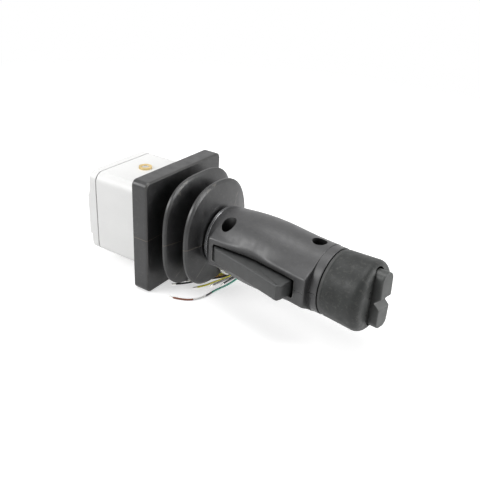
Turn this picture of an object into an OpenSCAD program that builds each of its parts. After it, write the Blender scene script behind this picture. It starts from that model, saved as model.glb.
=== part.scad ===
// Single-axis industrial joystick, lying on its side on the edge of its boot.
// +X runs along the lever, from the housing to the cap, and +Z is up.
// The origin is the centre of the mounting face, where the lever axis crosses it.
// The pieces are drawn upright, with the lever along +Z, and turned over at the end.

/* [Boot and mounting plate] */
// Side of the square skirt of the rubber boot
skirt_side = 90; // [86:1:96]
// Height of the skirt above the mounting face
skirt_height = 13.3; // [11:0.1:16]
// Corner radius of the skirt
skirt_corner = 4.5; // [4:0.5:8]
// Edge rounding of the skirt
skirt_edge = 1.5; // [1:0.1:3]
// Wall of the rubber boot
boot_wall = 2.4; // [1.8:0.1:3]
// Rim radius of the lower pleat
lower_pleat_r = 43; // [40:0.5:44]
// Height of the lower pleat's rim
lower_pleat_z = 26; // [24:0.5:28]
// Rim radius of the upper pleat
upper_pleat_r = 39.8; // [37:0.2:42]
// Height of the upper pleat's rim
upper_pleat_z = 42.5; // [41:0.5:44]
// Thickness of the mounting plate
plate_thick = 3; // [2:0.5:5]
// Distance between the panel bolts, both ways
bolt_spacing = 74; // [70:0.5:76]
// Diameter of the panel bolt holes
bolt_hole = 5.5; // [4.5:0.1:6.5]

/* [Housing] */
// Side of the square housing
housing_side = 68; // [64:1:70]
// Depth of the housing casting
housing_depth = 47.5; // [45:0.5:60]
// Corner radius of the housing
housing_corner = 8; // [6:0.5:10]
// Wall of the housing
housing_wall = 3.5; // [2.5:0.5:4]
// Thickness of the front wall
front_wall = 4; // [3:0.5:6]
// Radius of the opening for the lever
lever_opening_r = 21; // [20:0.5:23]
// Thickness of the cover gasket
gasket_thick = 0.8; // [0.5:0.1:1.5]
// Thickness of the rear cover
cover_thick = 6.4; // [5:0.1:8]
// Height of the raised block on the rear cover
block_height = 7.6; // [5:0.1:12]
// Length of the raised block across the cover
block_length = 58; // [50:1:60]
// Width of the raised block
block_width = 43; // [38:1:46]
// Screw size of the cover and plate screws
screw_d = 4; // [3:0.5:4]

/* [Pivot and lever] */
// Depth of the pivot axis below the mounting face
pivot_depth = 27; // [25:0.5:28]
// Diameter of the pivot shaft
shaft_d = 6; // [5:0.5:8]
// Outer diameter of the bush flange
bush_flange_d = 10.4; // [10:0.2:13]
// How far the bush flange stands out of the housing
bush_flange_t = 1.6; // [1:0.1:2.5]
// Diameter of the lever rod
lever_d = 12; // [10:0.5:13]
// Height of the grip's base above the mounting face
grip_start = 53.2; // [52.8:0.2:58]
// Lean of the grip towards the trigger side, in degrees
grip_lean = 5; // [0:0.5:5.5]

/* [Grip] */
// Length of the grip, from its base to the cap seam
grip_length = 95; // [92:1:105]
// Radius of the grip at its base
grip_base_r = 23.6; // [22.5:0.1:24]
// Largest radius of the grip
grip_swell_r = 26.8; // [26.4:0.1:28]
// Height of the swell above the grip's base
grip_swell_z = 38; // [34:1:42]
// Radius of the grip at the cap seam
grip_top_r = 24; // [23:0.1:25]
// Wall of the grip halves
grip_wall = 3; // [2.4:0.1:3.6]
// Half width of the trigger guard
guard_half_width = 10.5; // [10:0.1:11.5]
// Half width of the trigger pocket
pocket_half_width = 6.7; // [6.3:0.1:7.2]

/* [Trigger] */
// Gap between the trigger and each side of its pocket
trigger_gap = 0.9; // [0.5:0.1:1.2]
// How far the trigger's tip stands in front of the grip axis
trigger_reach = 40.6; // [38:0.2:43]
// Diameter of the trigger pin
trigger_pin_d = 3; // [2:0.5:3.5]

/* [Cap and rocker] */
// Length of the cap
cap_length = 27.6; // [27:0.2:34]
// Radius of the cap at its outer end
cap_end_r = 25; // [24.4:0.1:26]
// Rounding of the cap's outer edge
cap_edge = 6; // [4:0.5:6.5]
// Wall of the cap
cap_wall = 3; // [2.4:0.1:3.6]
// Length of the rocker
rocker_length = 39; // [34:0.5:40]
// Width of the rocker
rocker_width = 12; // [10:0.5:13]
// Height of the rocker above the cap
rocker_height = 7.8; // [7:0.2:10]
// Depth of the notch between the two pads
notch_depth = 4; // [3:0.5:5]

/* [Cable] */
// Diameter of the sheathed cable
cable_d = 5; // [4:0.5:6]
// Diameter of one insulated lead
lead_d = 1.5; // [1:0.1:1.6]

/* [Hidden] */
$fn = 48;

// Clearances
cut = 0.5;
boot_fit = 0.6;
loose_fit = 0.3;
running_fit = 0.04;
screw_clearance = 0.3;
far = 60;

// Colours
casting_grey = [0.88, 0.88, 0.87];
rubber_black = [0.10, 0.10, 0.11];
grip_grey = [0.20, 0.20, 0.21];
cap_grey = [0.17, 0.18, 0.17];
steel = [0.70, 0.71, 0.73];
bronze = [0.72, 0.56, 0.28];

// Sizes that follow from the ones above
plate_side = skirt_side - 2 * boot_wall - 2 * boot_fit;
plate_corner = skirt_corner - boot_wall;
half_housing = housing_side / 2;
inner_side = housing_side - 2 * housing_wall;
boss_r = screw_d / 2 + 2.8;
boss_at = inner_side / 2 - boss_r + 0.4;
housing_back = -housing_depth;
cover_front = housing_back - gasket_thick;
cover_back = cover_front - cover_thick;
block_back = cover_back - block_height;
block_corner = 5;
block_offset = 6.5;
screw_head_r = 0.9 * screw_d;
screw_head_h = 0.6 * screw_d;
screw_length = 16;
plate_screw_length = 12;
pivot_z = -pivot_depth;
bush_r = shaft_d / 2 + 1.3;
bush_length = 9;
bush_boss_r = bush_r + 3;
hub_width = 22;
hub_depth = lever_d + 6;
hub_above = 10;
spring_wire = 1.6;
spring_turns = 4;
spring_r = 7.6;
spring_start = hub_width / 2 + 1.6;
spring_pitch = 2.1;
spring_steps = 60;
arm_gap = 3.6;
post_r = 2.6;
drive_pin_r = 2.2;
drive_pin_z = pivot_z + 11.4;
arm_top = -front_wall - 2.5;
post_end = drive_pin_z + drive_pin_r + 1.2;
magnet_r = 4;
magnet_h = 2;
holder_h = magnet_h + 0.6;
magnet_gap = 1.8;
board_rise = 5.4;
board_top = housing_back + board_rise;
board_thick = 1.6;
board_length = 54;
board_width = 37;
standoff_x = 22;
standoff_y = 13.5;
standoff_r = 3;
board_screw_r = 1.25;
header_at = 20;
header_length = 6;
header_width = 16;
header_height = 3.6;
sensor_length = 5;
sensor_width = 4.4;
sensor_height = 1.2;
hub_below = housing_depth - pivot_depth - board_rise - sensor_height - magnet_gap - holder_h;

// Boot profile
boot_valley_r = 32;
boot_neck_r = 19.5;
pleat_rim = 2;
dome_end_z = upper_pleat_z + 6.2;

// Grip places, measured from its base along the leaning axis
guard_start = 5;
guard_end = grip_length - 7;
guard_low_y = -27.4;
guard_mid_z = 42;
guard_mid_y = -24.3;
guard_high_y = -29;
pocket_start = 9;
pocket_end = guard_end - 9;
pocket_length = pocket_end - pocket_start;
pocket_floor = -15;
rod_in_grip = 42;
rod_shoulder = 0.8;
rod_end_r = lever_d / 2 - 0.6;
rod_boss_r = rod_end_r + 3.6;
collar_thick = 2.2;
collar_r = grip_base_r - 0.4;
low_screw_z = 13.3;
low_screw_y = -14.9;
high_screw_z = pocket_end - 0.3;
high_screw_y = 1;
grip_screw_r = 1.6;
grip_head_r = 3.2;
grip_head_h = 2.4;
grip_recess_r = 5.2;
grip_seat = 9;
spigot_height = 8;
spigot_r = grip_top_r - cap_wall - 0.6;
top_wall = 3;

// Trigger places
trigger_half_width = pocket_half_width - trigger_gap;
trigger_pin_z = pocket_start + 5.5;
trigger_pin_y = -22.6;
trigger_root_r = 3.2;
trigger_end = pocket_end - 3.6;
trigger_back_y = -20.6;
switch_z = pocket_end - 20;
switch_length = 19.8;
switch_depth = 9;
switch_width = 6.4;
switch_front = -13;
plunger_reach = 1.4;
spring_seat_z = pocket_start + 20;

// Cap and rocker places
ring_thick = 2;
ring_groove = 0.7;
cap_start = grip_length + ring_thick;
cap_end = cap_start + cap_length;
well_depth = 6.5;
well_gap = 1.3;
well_length = rocker_length + 2 * well_gap;
well_width = rocker_width + 2 * loose_fit;
rocker_base = cap_end - 1.6;
rocker_top = cap_end + rocker_height;
rocker_pin_z = cap_end - 3.2;
rocker_pin_r = 1.25;
rocker_boss_r = 2.8;
pad_corner = 5;
rocker_switch_length = 26;
rocker_switch_width = 10;
rocker_switch_height = 8.6;
plunger_r = 1.4;
plunger_stroke = 2.6;

// Cable and leads
cable_boot_length = 18;
cable_exit_x = 14;
cable_exit_z = -30;
cable_route = [[-30, 52, -14], [-30, 58, -14.2], [-29, 66, -16.5], [-26.5, 74, -22],
    [-21, 81, -29], [-12, 86, -36], [0, 88.5, -40.8], [14, 88.5, -42.3], [28, 86, -42.5],
    [40, 80.5, -42.5], [50, 72, -42.5], [56.5, 63, -42.3], [59.4, 54, -42], [59, 46, -41.8]];
sleeve_start = [59, 46, -41.8];
sleeve_length = 10.2;
sleeve_r = cable_d / 2 + 0.7;
sleeve_turn = -101.31;
white_long_route = [[58.6, 35.7, -40.2], [53.7, 26, -41.6], [48.1, 17, -42.6], [46.6, 12.5, -41.8],
    [46.4, 8.5, -39], [46.8, 4.5, -35.2], [47.6, 1, -31]];
white_short_route = [[55.4, 36.3, -40.2], [50.2, 26, -41.6], [44.5, 17, -42.6],
    [41.8, 13.5, -42.4], [38, 9.5, -42.3], [33.5, 4.5, -42.3], [29.8, 0.5, -42.4]];
tan_route = [[55.4, 36.3, -43.5], [50.4, 26, -44.1], [45.4, 17, -44.2], [42.5, 11, -44.2],
    [38.5, 6, -44.2], [34.5, 1, -44.2], [30, -6, -44.2], [25.4, -13.4, -44.2]];
teal_route = [[54.7, 36.5, -41.8], [49.1, 26, -43.1], [43.6, 17, -44.2], [40, 11, -44.2],
    [35.5, 6.5, -44.2], [31, 2.5, -44.2], [26.5, -3.5, -44.2], [21.5, -10.5, -44.2],
    [16.5, -19, -44.2]];
black_route = [[56.2, 36.2, -41.8], [51.8, 26, -43.1], [47.2, 17, -44.2], [45, 11, -44.2],
    [41, 5, -44.2], [36.5, -1, -44.2], [32, -8, -44.2], [26.6, -16.5, -44.2], [19.6, -24, -44.2]];
black_short_route = [[58.6, 35.7, -43.5], [55.6, 26, -44.1], [52.6, 17, -44.2], [51.6, 11, -44.2],
    [50.9, 5, -44.2], [50.8, -1.5, -44.2]];
yellow_far_route = [[57, 36, -40.2], [51.9, 26, -41.6], [46.3, 17, -42.6], [43.5, 12.5, -42.6],
    [40.2, 8.5, -42.6], [37, 5, -42.6]];
yellow_near_route = [[57, 36, -43.5], [53.1, 26, -44.1], [49, 17, -44.2], [47.5, 11, -44.2],
    [45.5, 5, -44.2], [43.6, -1, -44.2], [41, -9, -44.2], [36, -18, -44.2]];
grey_route = [[57.8, 35.9, -41.8], [54.4, 26, -43.2], [50.8, 17, -44.2], [49.3, 11, -44.2],
    [47.8, 5, -44.2], [46.4, -1, -44.2], [44.7, -8, -44.2]];
green_route = [[59.4, 35.5, -41.8], [57.3, 26, -43.2], [55.2, 17, -44.2], [54.8, 8, -44.2],
    [54, 1, -44.2], [52.6, -5, -44.2], [51.4, -11, -44.2], [50.8, -18, -44.2],
    [49.4, -24.5, -44.2], [46.5, -30, -44.2], [42, -34.2, -44.2], [36, -37, -44.2],
    [29, -39, -44.2]];

// Turns an upright piece onto its side
module laid() {
    rotate([0, 90, 0]) children();
}

// Places a piece on the leaning axis of the grip
module on_grip() {
    translate([0, 0, grip_start]) rotate([grip_lean, 0, 0]) children();
}

// A square outline with round corners
module rounded_square(side, corner) {
    rounded_oblong(side, side, corner);
}

// A rectangular outline with round corners
module rounded_oblong(width, length, corner) {
    square([width - 2 * corner, length], center = true);
    square([width, length - 2 * corner], center = true);
    for (x = [-1, 1], y = [-1, 1])
        translate([x * (width / 2 - corner), y * (length / 2 - corner)]) circle(corner);
}

// Repeats a piece at the four corners of a square or rectangle
module at_corners(x, y) {
    for (i = [-1, 1], j = [-1, 1]) translate([i * x, j * y, 0]) children();
}

// A cylinder along X between two places
module x_rod(from, to, radius) {
    translate([from, 0, 0]) rotate([0, 90, 0]) cylinder(h = to - from, r = radius);
}

// A cylinder along Y between two places
module y_rod(from, to, radius) {
    translate([0, from, 0]) rotate([-90, 0, 0]) cylinder(h = to - from, r = radius);
}

// A pan-head screw with its head above the origin and its shank below
module pan_screw(shank_r, head_r, head_h, length) {
    difference() {
        union() {
            cylinder(h = head_h, r = head_r);
            translate([0, 0, -length]) cylinder(h = length, r = shank_r);
        }
        translate([0, 0, 0.45 * head_h]) cylinder(h = head_h, r = 0.5 * head_r, $fn = 6);
    }
}

// Unit vector
function unit(v) = v / norm(v);

// Direction of a route at point i
function heading(route, i) =
    unit(route[min(i + 1, len(route) - 1)] - route[max(i - 1, 0)]);

// One ring of points about a route
function ring(centre, ahead, side, radius, sides) =
    let (across = unit(cross(ahead, side)), over = cross(across, ahead))
    [for (k = [0:sides - 1]) centre
        + radius * (across * cos(360 * k / sides) + over * sin(360 * k / sides))];

// A closed tube swept along a route; side is never parallel to the route
module tube_along(route, radius, sides, side) {
    rings = len(route);
    points = [for (i = [0:rings - 1])
        each ring(route[i], heading(route, i), side, radius, sides)];
    walls = [for (i = [0:rings - 2], k = [0:sides - 1])
        let (a = i * sides + k, b = i * sides + (k + 1) % sides)
        each [[a, a + sides, b], [b, a + sides, b + sides]]];
    first = [for (k = [0:sides - 1]) k];
    last = [for (k = [sides - 1:-1:0]) (rings - 1) * sides + k];
    polyhedron(points, concat(walls, [first, last]));
}

// ---------------------------------------------------------------- housing

// Square cast housing, open at the back, with a lever opening in its front wall
module housing() {
    color(casting_grey) laid() difference() {
        union() {
            difference() {
                translate([0, 0, housing_back])
                    linear_extrude(housing_depth) rounded_square(housing_side, housing_corner);
                translate([0, 0, housing_back - cut])
                    linear_extrude(housing_depth - front_wall + cut)
                        rounded_square(inner_side, housing_corner - housing_wall);
            }
            at_corners(boss_at, boss_at)
                translate([0, 0, housing_back]) cylinder(h = housing_depth - cut, r = boss_r);
            for (side = [-1, 1]) translate([0, 0, pivot_z])
                x_rod(side < 0 ? -half_housing + cut : half_housing - bush_length,
                    side < 0 ? -half_housing + bush_length : half_housing - cut, bush_boss_r);
        }
        translate([0, 0, -front_wall - cut])
            cylinder(h = front_wall + 2 * cut, r = lever_opening_r);
        translate([0, 0, pivot_z]) x_rod(-half_housing - cut, half_housing + cut, bush_r);
        at_corners(boss_at, boss_at)
            translate([0, 0, housing_back - cut])
                cylinder(h = housing_depth + 2 * cut, r = screw_d / 2);
        translate([cable_exit_x, 0, cable_exit_z])
            y_rod(half_housing - housing_wall - cut, half_housing + cut, cable_d / 2 + 1.5);
        spring_post_hole();
    }
}

// Hole for the spring post in the front wall
module spring_post_hole() {
    translate([spring_start + 0.5 * spring_turns * spring_pitch, 0, -front_wall - cut])
        cylinder(h = front_wall - 1 + cut, r = post_r);
}

// Rear cover with a raised block, counterbored for the screws
module rear_cover() {
    color(casting_grey) laid() difference() {
        union() {
            translate([0, 0, cover_back])
                linear_extrude(cover_thick) rounded_square(housing_side, housing_corner);
            translate([block_offset, 0, block_back])
                linear_extrude(block_height + cut)
                    rounded_oblong(block_width, block_length, block_corner);
            at_corners(standoff_x, standoff_y)
                translate([0, 0, cover_front - cut])
                    cylinder(h = board_top - board_thick - cover_front + cut, r = standoff_r);
        }
        translate([block_offset, 0, block_back + 3])
            linear_extrude(block_height + cover_thick - 3 + cut)
                rounded_oblong(block_width - 22, block_length - 34, 2);
        at_corners(boss_at, boss_at) {
            translate([0, 0, block_back - cut])
                cylinder(h = cover_front - block_back + 2 * cut, r = screw_d / 2 + screw_clearance);
            translate([0, 0, block_back - cut])
                cylinder(h = cover_back + screw_head_h + 0.4 - block_back + cut,
                    r = screw_head_r + 0.4);
        }
        at_corners(standoff_x, standoff_y)
            translate([0, 0, cover_front])
                cylinder(h = board_top - cover_front, r = board_screw_r);
    }
}

// Flat rubber gasket between the housing and its cover
module cover_gasket() {
    color(rubber_black) laid() translate([0, 0, cover_front]) linear_extrude(gasket_thick)
        difference() {
            rounded_square(housing_side - 1.2, housing_corner - 0.6);
            difference() {
                rounded_square(inner_side - 1, housing_corner - housing_wall);
                at_corners(boss_at, boss_at) circle(boss_r);
            }
            at_corners(boss_at, boss_at) circle(screw_d / 2 + screw_clearance);
        }
}

// Four screws that hold the cover
module cover_screws() {
    color(steel) laid() at_corners(boss_at, boss_at)
        translate([0, 0, cover_back + screw_head_h + 0.4]) mirror([0, 0, 1])
            pan_screw(screw_d / 2, screw_head_r, screw_head_h, screw_length);
}

// Square steel plate that carries the housing and bolts to the panel
module mounting_plate() {
    color(steel) laid() difference() {
        linear_extrude(plate_thick) rounded_square(plate_side, plate_corner);
        translate([0, 0, -cut]) cylinder(h = plate_thick + 2 * cut, r = lever_opening_r);
        at_corners(bolt_spacing / 2, bolt_spacing / 2)
            translate([0, 0, -cut]) cylinder(h = plate_thick + 2 * cut, r = bolt_hole / 2);
        at_corners(boss_at, boss_at) {
            translate([0, 0, -cut])
                cylinder(h = plate_thick + 2 * cut, r = screw_d / 2 + screw_clearance);
        }
    }
}

// Four screws that hold the plate to the housing
module plate_screws() {
    color(steel) laid() at_corners(boss_at, boss_at)
        translate([0, 0, plate_thick]) pan_screw(screw_d / 2, screw_head_r, screw_head_h,
            plate_screw_length);
}

// ---------------------------------------------------------------- boot

// Half outline of the bellows: outer edge up, inner edge down
function pleat_outline(inset) = [
    [boot_valley_r - inset, skirt_height - boot_wall],
    [boot_valley_r - inset, lower_pleat_z - 5],
    [lower_pleat_r - 2 - inset, lower_pleat_z - 0.8],
    [lower_pleat_r - inset, lower_pleat_z],
    [lower_pleat_r - inset, lower_pleat_z + pleat_rim - 0.6],
    [lower_pleat_r - 1.2 - inset, lower_pleat_z + pleat_rim],
    [boot_valley_r + 1.5 - inset, lower_pleat_z + 5.6],
    [boot_valley_r - 0.5 - inset, lower_pleat_z + 7.8],
    [boot_valley_r + 1 - inset, lower_pleat_z + 10.8],
    [upper_pleat_r - 2 - inset, upper_pleat_z - 1.2],
    [upper_pleat_r - inset, upper_pleat_z - 0.4],
    [upper_pleat_r - inset, upper_pleat_z + 1],
    [upper_pleat_r - 1.4 - inset, upper_pleat_z + 2.1]];

// Rubber boot: square skirt over the plate, two round pleats and a shallow dome
module boot() {
    color(rubber_black) laid() {
        difference() {
            hull() {
                linear_extrude(skirt_height - skirt_edge)
                    rounded_square(skirt_side, skirt_corner);
                linear_extrude(skirt_height)
                    rounded_square(skirt_side - 2 * skirt_edge, skirt_corner - skirt_edge);
                linear_extrude(skirt_height - 0.3 * skirt_edge)
                    rounded_square(skirt_side - 0.6 * skirt_edge, skirt_corner - 0.3 * skirt_edge);
            }
            translate([0, 0, -cut]) linear_extrude(skirt_height - boot_wall + cut)
                rounded_square(skirt_side - 2 * boot_wall, skirt_corner - boot_wall);
            translate([0, 0, -cut])
                cylinder(h = skirt_height + 2 * cut, r = boot_valley_r - boot_wall);
        }
        rotate_extrude() difference() {
            polygon(concat(pleat_outline(0),
                [[boot_neck_r, dome_end_z],
                [boot_neck_r, dome_end_z - boot_wall],
                [upper_pleat_r - 3 - boot_wall, upper_pleat_z - 0.4]],
                [for (i = [len(pleat_outline(0)) - 4:-1:0])
                    pleat_outline(boot_wall)[i]]));
        }
    }
}

// ---------------------------------------------------------------- pivot

// Flanged bronze bush in the side wall; side is -1 for the upper one
module bush(side) {
    color(bronze) laid() translate([0, 0, pivot_z]) mirror([side < 0 ? 1 : 0, 0, 0])
        difference() {
            union() {
                x_rod(half_housing - bush_length, half_housing, bush_r);
                x_rod(half_housing, half_housing + bush_flange_t, bush_flange_d / 2);
            }
            x_rod(half_housing - bush_length - cut, half_housing + bush_flange_t + cut,
                shaft_d / 2 + running_fit);
        }
}

module upper_bush() {
    bush(-1);
}

module lower_bush() {
    bush(1);
}

// Steel shaft through both bushes
module pivot_shaft() {
    color(steel) laid() translate([0, 0, pivot_z])
        x_rod(-half_housing - bush_flange_t + 0.4, half_housing + bush_flange_t - 0.4,
            shaft_d / 2);
}

// Block that joins the pivot shaft and the lever rod
module lever_hub() {
    color(steel) laid() difference() {
        union() {
            translate([0, 0, pivot_z + (hub_above - hub_below) / 2])
                cube([hub_width, hub_depth, hub_above + hub_below], center = true);
            translate([0, 0, pivot_z]) x_rod(hub_width / 2 - cut,
                spring_start + spring_turns * spring_pitch + 1, shaft_d / 2 + 2);
            translate([0, 0, drive_pin_z]) x_rod(hub_width / 2 - 6,
                spring_start + spring_turns * spring_pitch + 1, drive_pin_r);
            translate([0, 0, pivot_z + hub_above - cut])
                cylinder(h = 4, r = lever_d / 2 + 3);
        }
        translate([0, 0, pivot_z]) x_rod(-hub_width, 2 * hub_width, shaft_d / 2);
        translate([0, 0, pivot_z + shaft_d / 2 + 1])
            cylinder(h = hub_above + 10, r = lever_d / 2);
        translate([-hub_width / 2 + 5, 0, pivot_z]) y_rod(shaft_d / 2 - 1, hub_depth, 1.5);
    }
}

// Grub screw that locks the hub to the shaft
module hub_grub_screw() {
    color(steel) laid() translate([-hub_width / 2 + 5, 0, pivot_z]) difference() {
        y_rod(shaft_d / 2 + 0.1, hub_depth / 2 - 0.4, 1.5);
        y_rod(hub_depth / 2 - 2, hub_depth / 2, 0.7);
    }
}

// Steel rod from the hub to the grip, with a thinner leaning end inside the grip
module lever_rod() {
    rod_foot = pivot_z + shaft_d / 2 + 1;
    color(steel) laid() {
        translate([0, 0, rod_foot])
            cylinder(h = grip_start - rod_shoulder - rod_foot, r = lever_d / 2);
        on_grip() translate([0, 0, -5]) cylinder(h = 5 + rod_in_grip, r = rod_end_r);
    }
}

// Torsion spring on the hub with two upright arms astride the post and the pin
module centring_spring() {
    low = acos(arm_gap / spring_r);
    coil = [for (i = [0:spring_steps])
        let (a = low + i / spring_steps * (360 * spring_turns + 180 - 2 * low))
        [spring_start + spring_pitch * i * spring_turns / spring_steps,
            spring_r * cos(a), pivot_z + spring_r * sin(a)]];
    first_arm = [coil[0][0] - 0.4, arm_gap, arm_top];
    last_arm = [coil[spring_steps][0] + 0.4, -arm_gap, arm_top];
    color(steel) laid()
        tube_along(concat([first_arm], coil, [last_arm]), spring_wire / 2, 6, [1, 0, 0]);
}

// Fixed post that the spring arms rest on
module spring_post() {
    color(steel) laid()
        translate([spring_start + 0.5 * spring_turns * spring_pitch, 0, post_end])
            cylinder(h = -1 - post_end, r = post_r);
}

// Plastic cup under the hub
module magnet_holder() {
    color(grip_grey) laid() translate([0, 0, pivot_z - hub_below - holder_h])
        difference() {
            cylinder(h = holder_h, r = magnet_r + 1.6);
            translate([0, 0, -cut]) cylinder(h = magnet_h + cut, r = magnet_r);
        }
}

// Disc magnet read by the sensor
module sensor_magnet() {
    color(steel) laid() translate([0, 0, pivot_z - hub_below - holder_h])
        cylinder(h = magnet_h, r = magnet_r);
}

// ---------------------------------------------------------------- electronics

// Board on the cover's standoffs, with its lead header
module circuit_board() {
    color([0.05, 0.35, 0.18]) laid() difference() {
        union() {
            translate([0, 0, board_top - board_thick / 2])
                cube([board_length, board_width, board_thick], center = true);
            translate([header_at, 0, board_top + header_height / 2 - 0.1])
                cube([header_length, header_width, header_height], center = true);
        }
        at_corners(standoff_x, standoff_y) translate([0, 0, board_top - board_thick - cut])
            cylinder(h = board_thick + 2 * cut, r = board_screw_r + 0.2);
    }
}

// Sensor chip under the magnet
module hall_sensor() {
    color(rubber_black) laid() translate([0, 0, board_top + sensor_height / 2])
        cube([sensor_length, sensor_width, sensor_height], center = true);
}

// Four screws that hold the board
module board_screws() {
    color(steel) laid() at_corners(standoff_x, standoff_y)
        translate([0, 0, board_top]) pan_screw(board_screw_r, 2.2, 1.5, 5.5);
}

// ---------------------------------------------------------------- grip

// Radius of the grip at a height: it swells, then narrows to the cap
function grip_r(z) = z < grip_swell_z
    ? grip_base_r + (grip_swell_r - grip_base_r) * sin(90 * z / grip_swell_z)
    : z < guard_end
        ? grip_top_r + (grip_swell_r - grip_top_r)
            * (1 + cos(180 * (z - grip_swell_z) / (guard_end - grip_swell_z))) / 2
        : grip_top_r;

// Solid of revolution under the grip's surface, inset by a wall
module grip_form(inset, from, to) {
    steps = 16;
    rotate_extrude() polygon(concat([[0, from]],
        [for (i = [0:steps]) let (z = from + (to - from) * i / steps) [grip_r(z) - inset, z]],
        [[0, to]]));
}

// Thin bar across the front of the guard
module guard_bar(y, z) {
    translate([-guard_half_width, y, z]) cube([2 * guard_half_width, 1, 0.8]);
}

// Guard round the trigger pocket, blended into the round grip
module trigger_guard() {
    hull() {
        translate([0, 0, guard_start])
            cylinder(h = guard_mid_z - guard_start, r = grip_base_r - 0.6, $fn = 32);
        guard_bar(guard_low_y, guard_start);
        guard_bar(guard_mid_y, guard_mid_z);
    }
    hull() {
        translate([0, 0, guard_mid_z])
            cylinder(h = guard_end - guard_mid_z, r = grip_top_r - 0.4, $fn = 32);
        guard_bar(guard_mid_y, guard_mid_z);
        guard_bar(guard_high_y, guard_end - 0.8);
    }
}

// Everything in front of the guard's face
module guard_front() {
    rotate([90, 0, 90]) translate([0, 0, -far]) linear_extrude(2 * far)
        polygon([[guard_low_y, guard_start], [guard_mid_y, guard_mid_z],
            [guard_high_y, guard_end], [-far, guard_end], [-far, guard_start]]);
}

// Screw through both halves at a height and a distance in front of the axis
module grip_screw_hole(y, z) {
    translate([0, y, z]) {
        x_rod(-grip_seat - 3, grip_seat + 10, grip_screw_r);
        x_rod(-40, -grip_seat, grip_recess_r);
    }
}

// The whole grip before it is split
module grip_body() {
    difference() {
        union() {
            difference() {
                union() {
                    grip_form(0, 0, grip_length);
                    trigger_guard();
                    cylinder(h = grip_length + spigot_height, r = spigot_r);
                }
                grip_form(grip_wall, top_wall, grip_length - top_wall);
                translate([0, 0, grip_length - top_wall - cut])
                    cylinder(h = spigot_height + top_wall + 2 * cut, r = spigot_r - 3);
            }
            intersection() {
                grip_form(grip_wall - cut, top_wall - cut, grip_length - top_wall);
                union() {
                    cylinder(h = rod_in_grip, r = rod_boss_r);
                    translate([0, 0, 0.5 * rod_in_grip]) cylinder(h = 2.5, r = 30);
                    translate([0, 0, rod_in_grip - 2.5]) cylinder(h = 2.5, r = 30);
                    translate([0, low_screw_y, low_screw_z]) x_rod(-30, 30, grip_recess_r + 2);
                    translate([0, high_screw_y, high_screw_z]) x_rod(-30, 30, grip_recess_r + 2);
                }
            }
        }
        translate([0, 0, -cut]) cylinder(h = rod_in_grip + 2 * cut, r = rod_end_r);
        guard_front();
        translate([-pocket_half_width, -50, pocket_start])
            cube([2 * pocket_half_width, 50 + pocket_floor, pocket_length]);
        translate([0, trigger_pin_y, trigger_pin_z])
            x_rod(-pocket_half_width - 4, pocket_half_width + 4, trigger_pin_d / 2);
        grip_screw_hole(low_screw_y, low_screw_z);
        grip_screw_hole(high_screw_y, high_screw_z);
    }
}

// Half of the grip on the side of the screw heads
module grip_upper_half() {
    color(grip_grey) laid() on_grip() intersection() {
        grip_body();
        translate([-far, -far, -cut]) cube([far, 2 * far, grip_length + far]);
    }
}

// Half of the grip that the screws bite into
module grip_lower_half() {
    color(grip_grey) laid() on_grip() intersection() {
        grip_body();
        translate([0, -far, -cut]) cube([far, 2 * far, grip_length + far]);
    }
}

// Two screws that hold the halves together
module grip_screws() {
    color(steel) laid() on_grip()
        for (place = [[low_screw_y, low_screw_z], [high_screw_y, high_screw_z]])
            translate([-grip_seat, place[0], place[1]]) rotate([0, -90, 0])
                pan_screw(grip_screw_r, grip_head_r, grip_head_h, grip_seat + 8);
}

// Polished collar between the boot and the grip
module neck_collar() {
    color(steel) laid() on_grip() difference() {
        translate([0, 0, -collar_thick]) cylinder(h = collar_thick, r = collar_r);
        translate([0, 0, -collar_thick - cut])
            cylinder(h = collar_thick + 2 * cut, r = lever_d / 2 + loose_fit);
    }
}

// ---------------------------------------------------------------- trigger

// Side outline of the trigger, as front distance and height
function trigger_outline() = [
    [trigger_pin_y - trigger_root_r - 1.4, trigger_pin_z - 4.4],
    [trigger_pin_y - trigger_root_r - 4, trigger_pin_z - 1.5],
    [-33.8, 41],
    [-trigger_reach + 0.6, trigger_end - 2],
    [-trigger_reach + 1, trigger_end - 0.6],
    [-trigger_reach + 2.4, trigger_end],
    [trigger_back_y, trigger_end],
    [trigger_back_y, trigger_pin_z + 1],
    [trigger_pin_y + 2, trigger_pin_z - 3],
    [trigger_pin_y - 1, trigger_pin_z - 4.4]];

// Long finger trigger that swings on its pin into the pocket
module trigger() {
    color(grip_grey) laid() on_grip() difference() {
        rotate([90, 0, 90]) translate([0, 0, -trigger_half_width])
            linear_extrude(2 * trigger_half_width) polygon(trigger_outline());
        translate([0, trigger_pin_y, trigger_pin_z])
            x_rod(-10, 10, trigger_pin_d / 2 + running_fit);
        translate([0, trigger_back_y, spring_seat_z]) y_rod(-4, 1, 3.4);
        rotate([90, 0, 90]) translate([0, 0, -trigger_half_width + 1.8])
            linear_extrude(2 * trigger_half_width - 3.6)
                polygon([[trigger_back_y + 1, spring_seat_z + 6],
                    [trigger_back_y - 5, spring_seat_z + 6],
                    [trigger_back_y - 9, trigger_end - 14],
                    [trigger_back_y + 1, trigger_end - 14]]);
    }
}

// Steel pin of the trigger
module trigger_pin() {
    color(steel) laid() on_grip() translate([0, trigger_pin_y, trigger_pin_z])
        x_rod(-pocket_half_width - 4, pocket_half_width + 4, trigger_pin_d / 2);
}

// Small coil spring behind the trigger
module trigger_spring() {
    turns = 5;
    steps = 50;
    coil_r = 2.4;
    wire_r = 0.3;
    front = trigger_back_y - 3.4;
    back = -rod_boss_r - 0.6;
    color(steel) laid() on_grip() tube_along(
        [for (i = [0:steps]) let (a = 360 * turns * i / steps)
            [coil_r * cos(a), front + (back - front) * i / steps, spring_seat_z + coil_r * sin(a)]],
        wire_r, 6, [0, 1, 0]);
}

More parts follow.
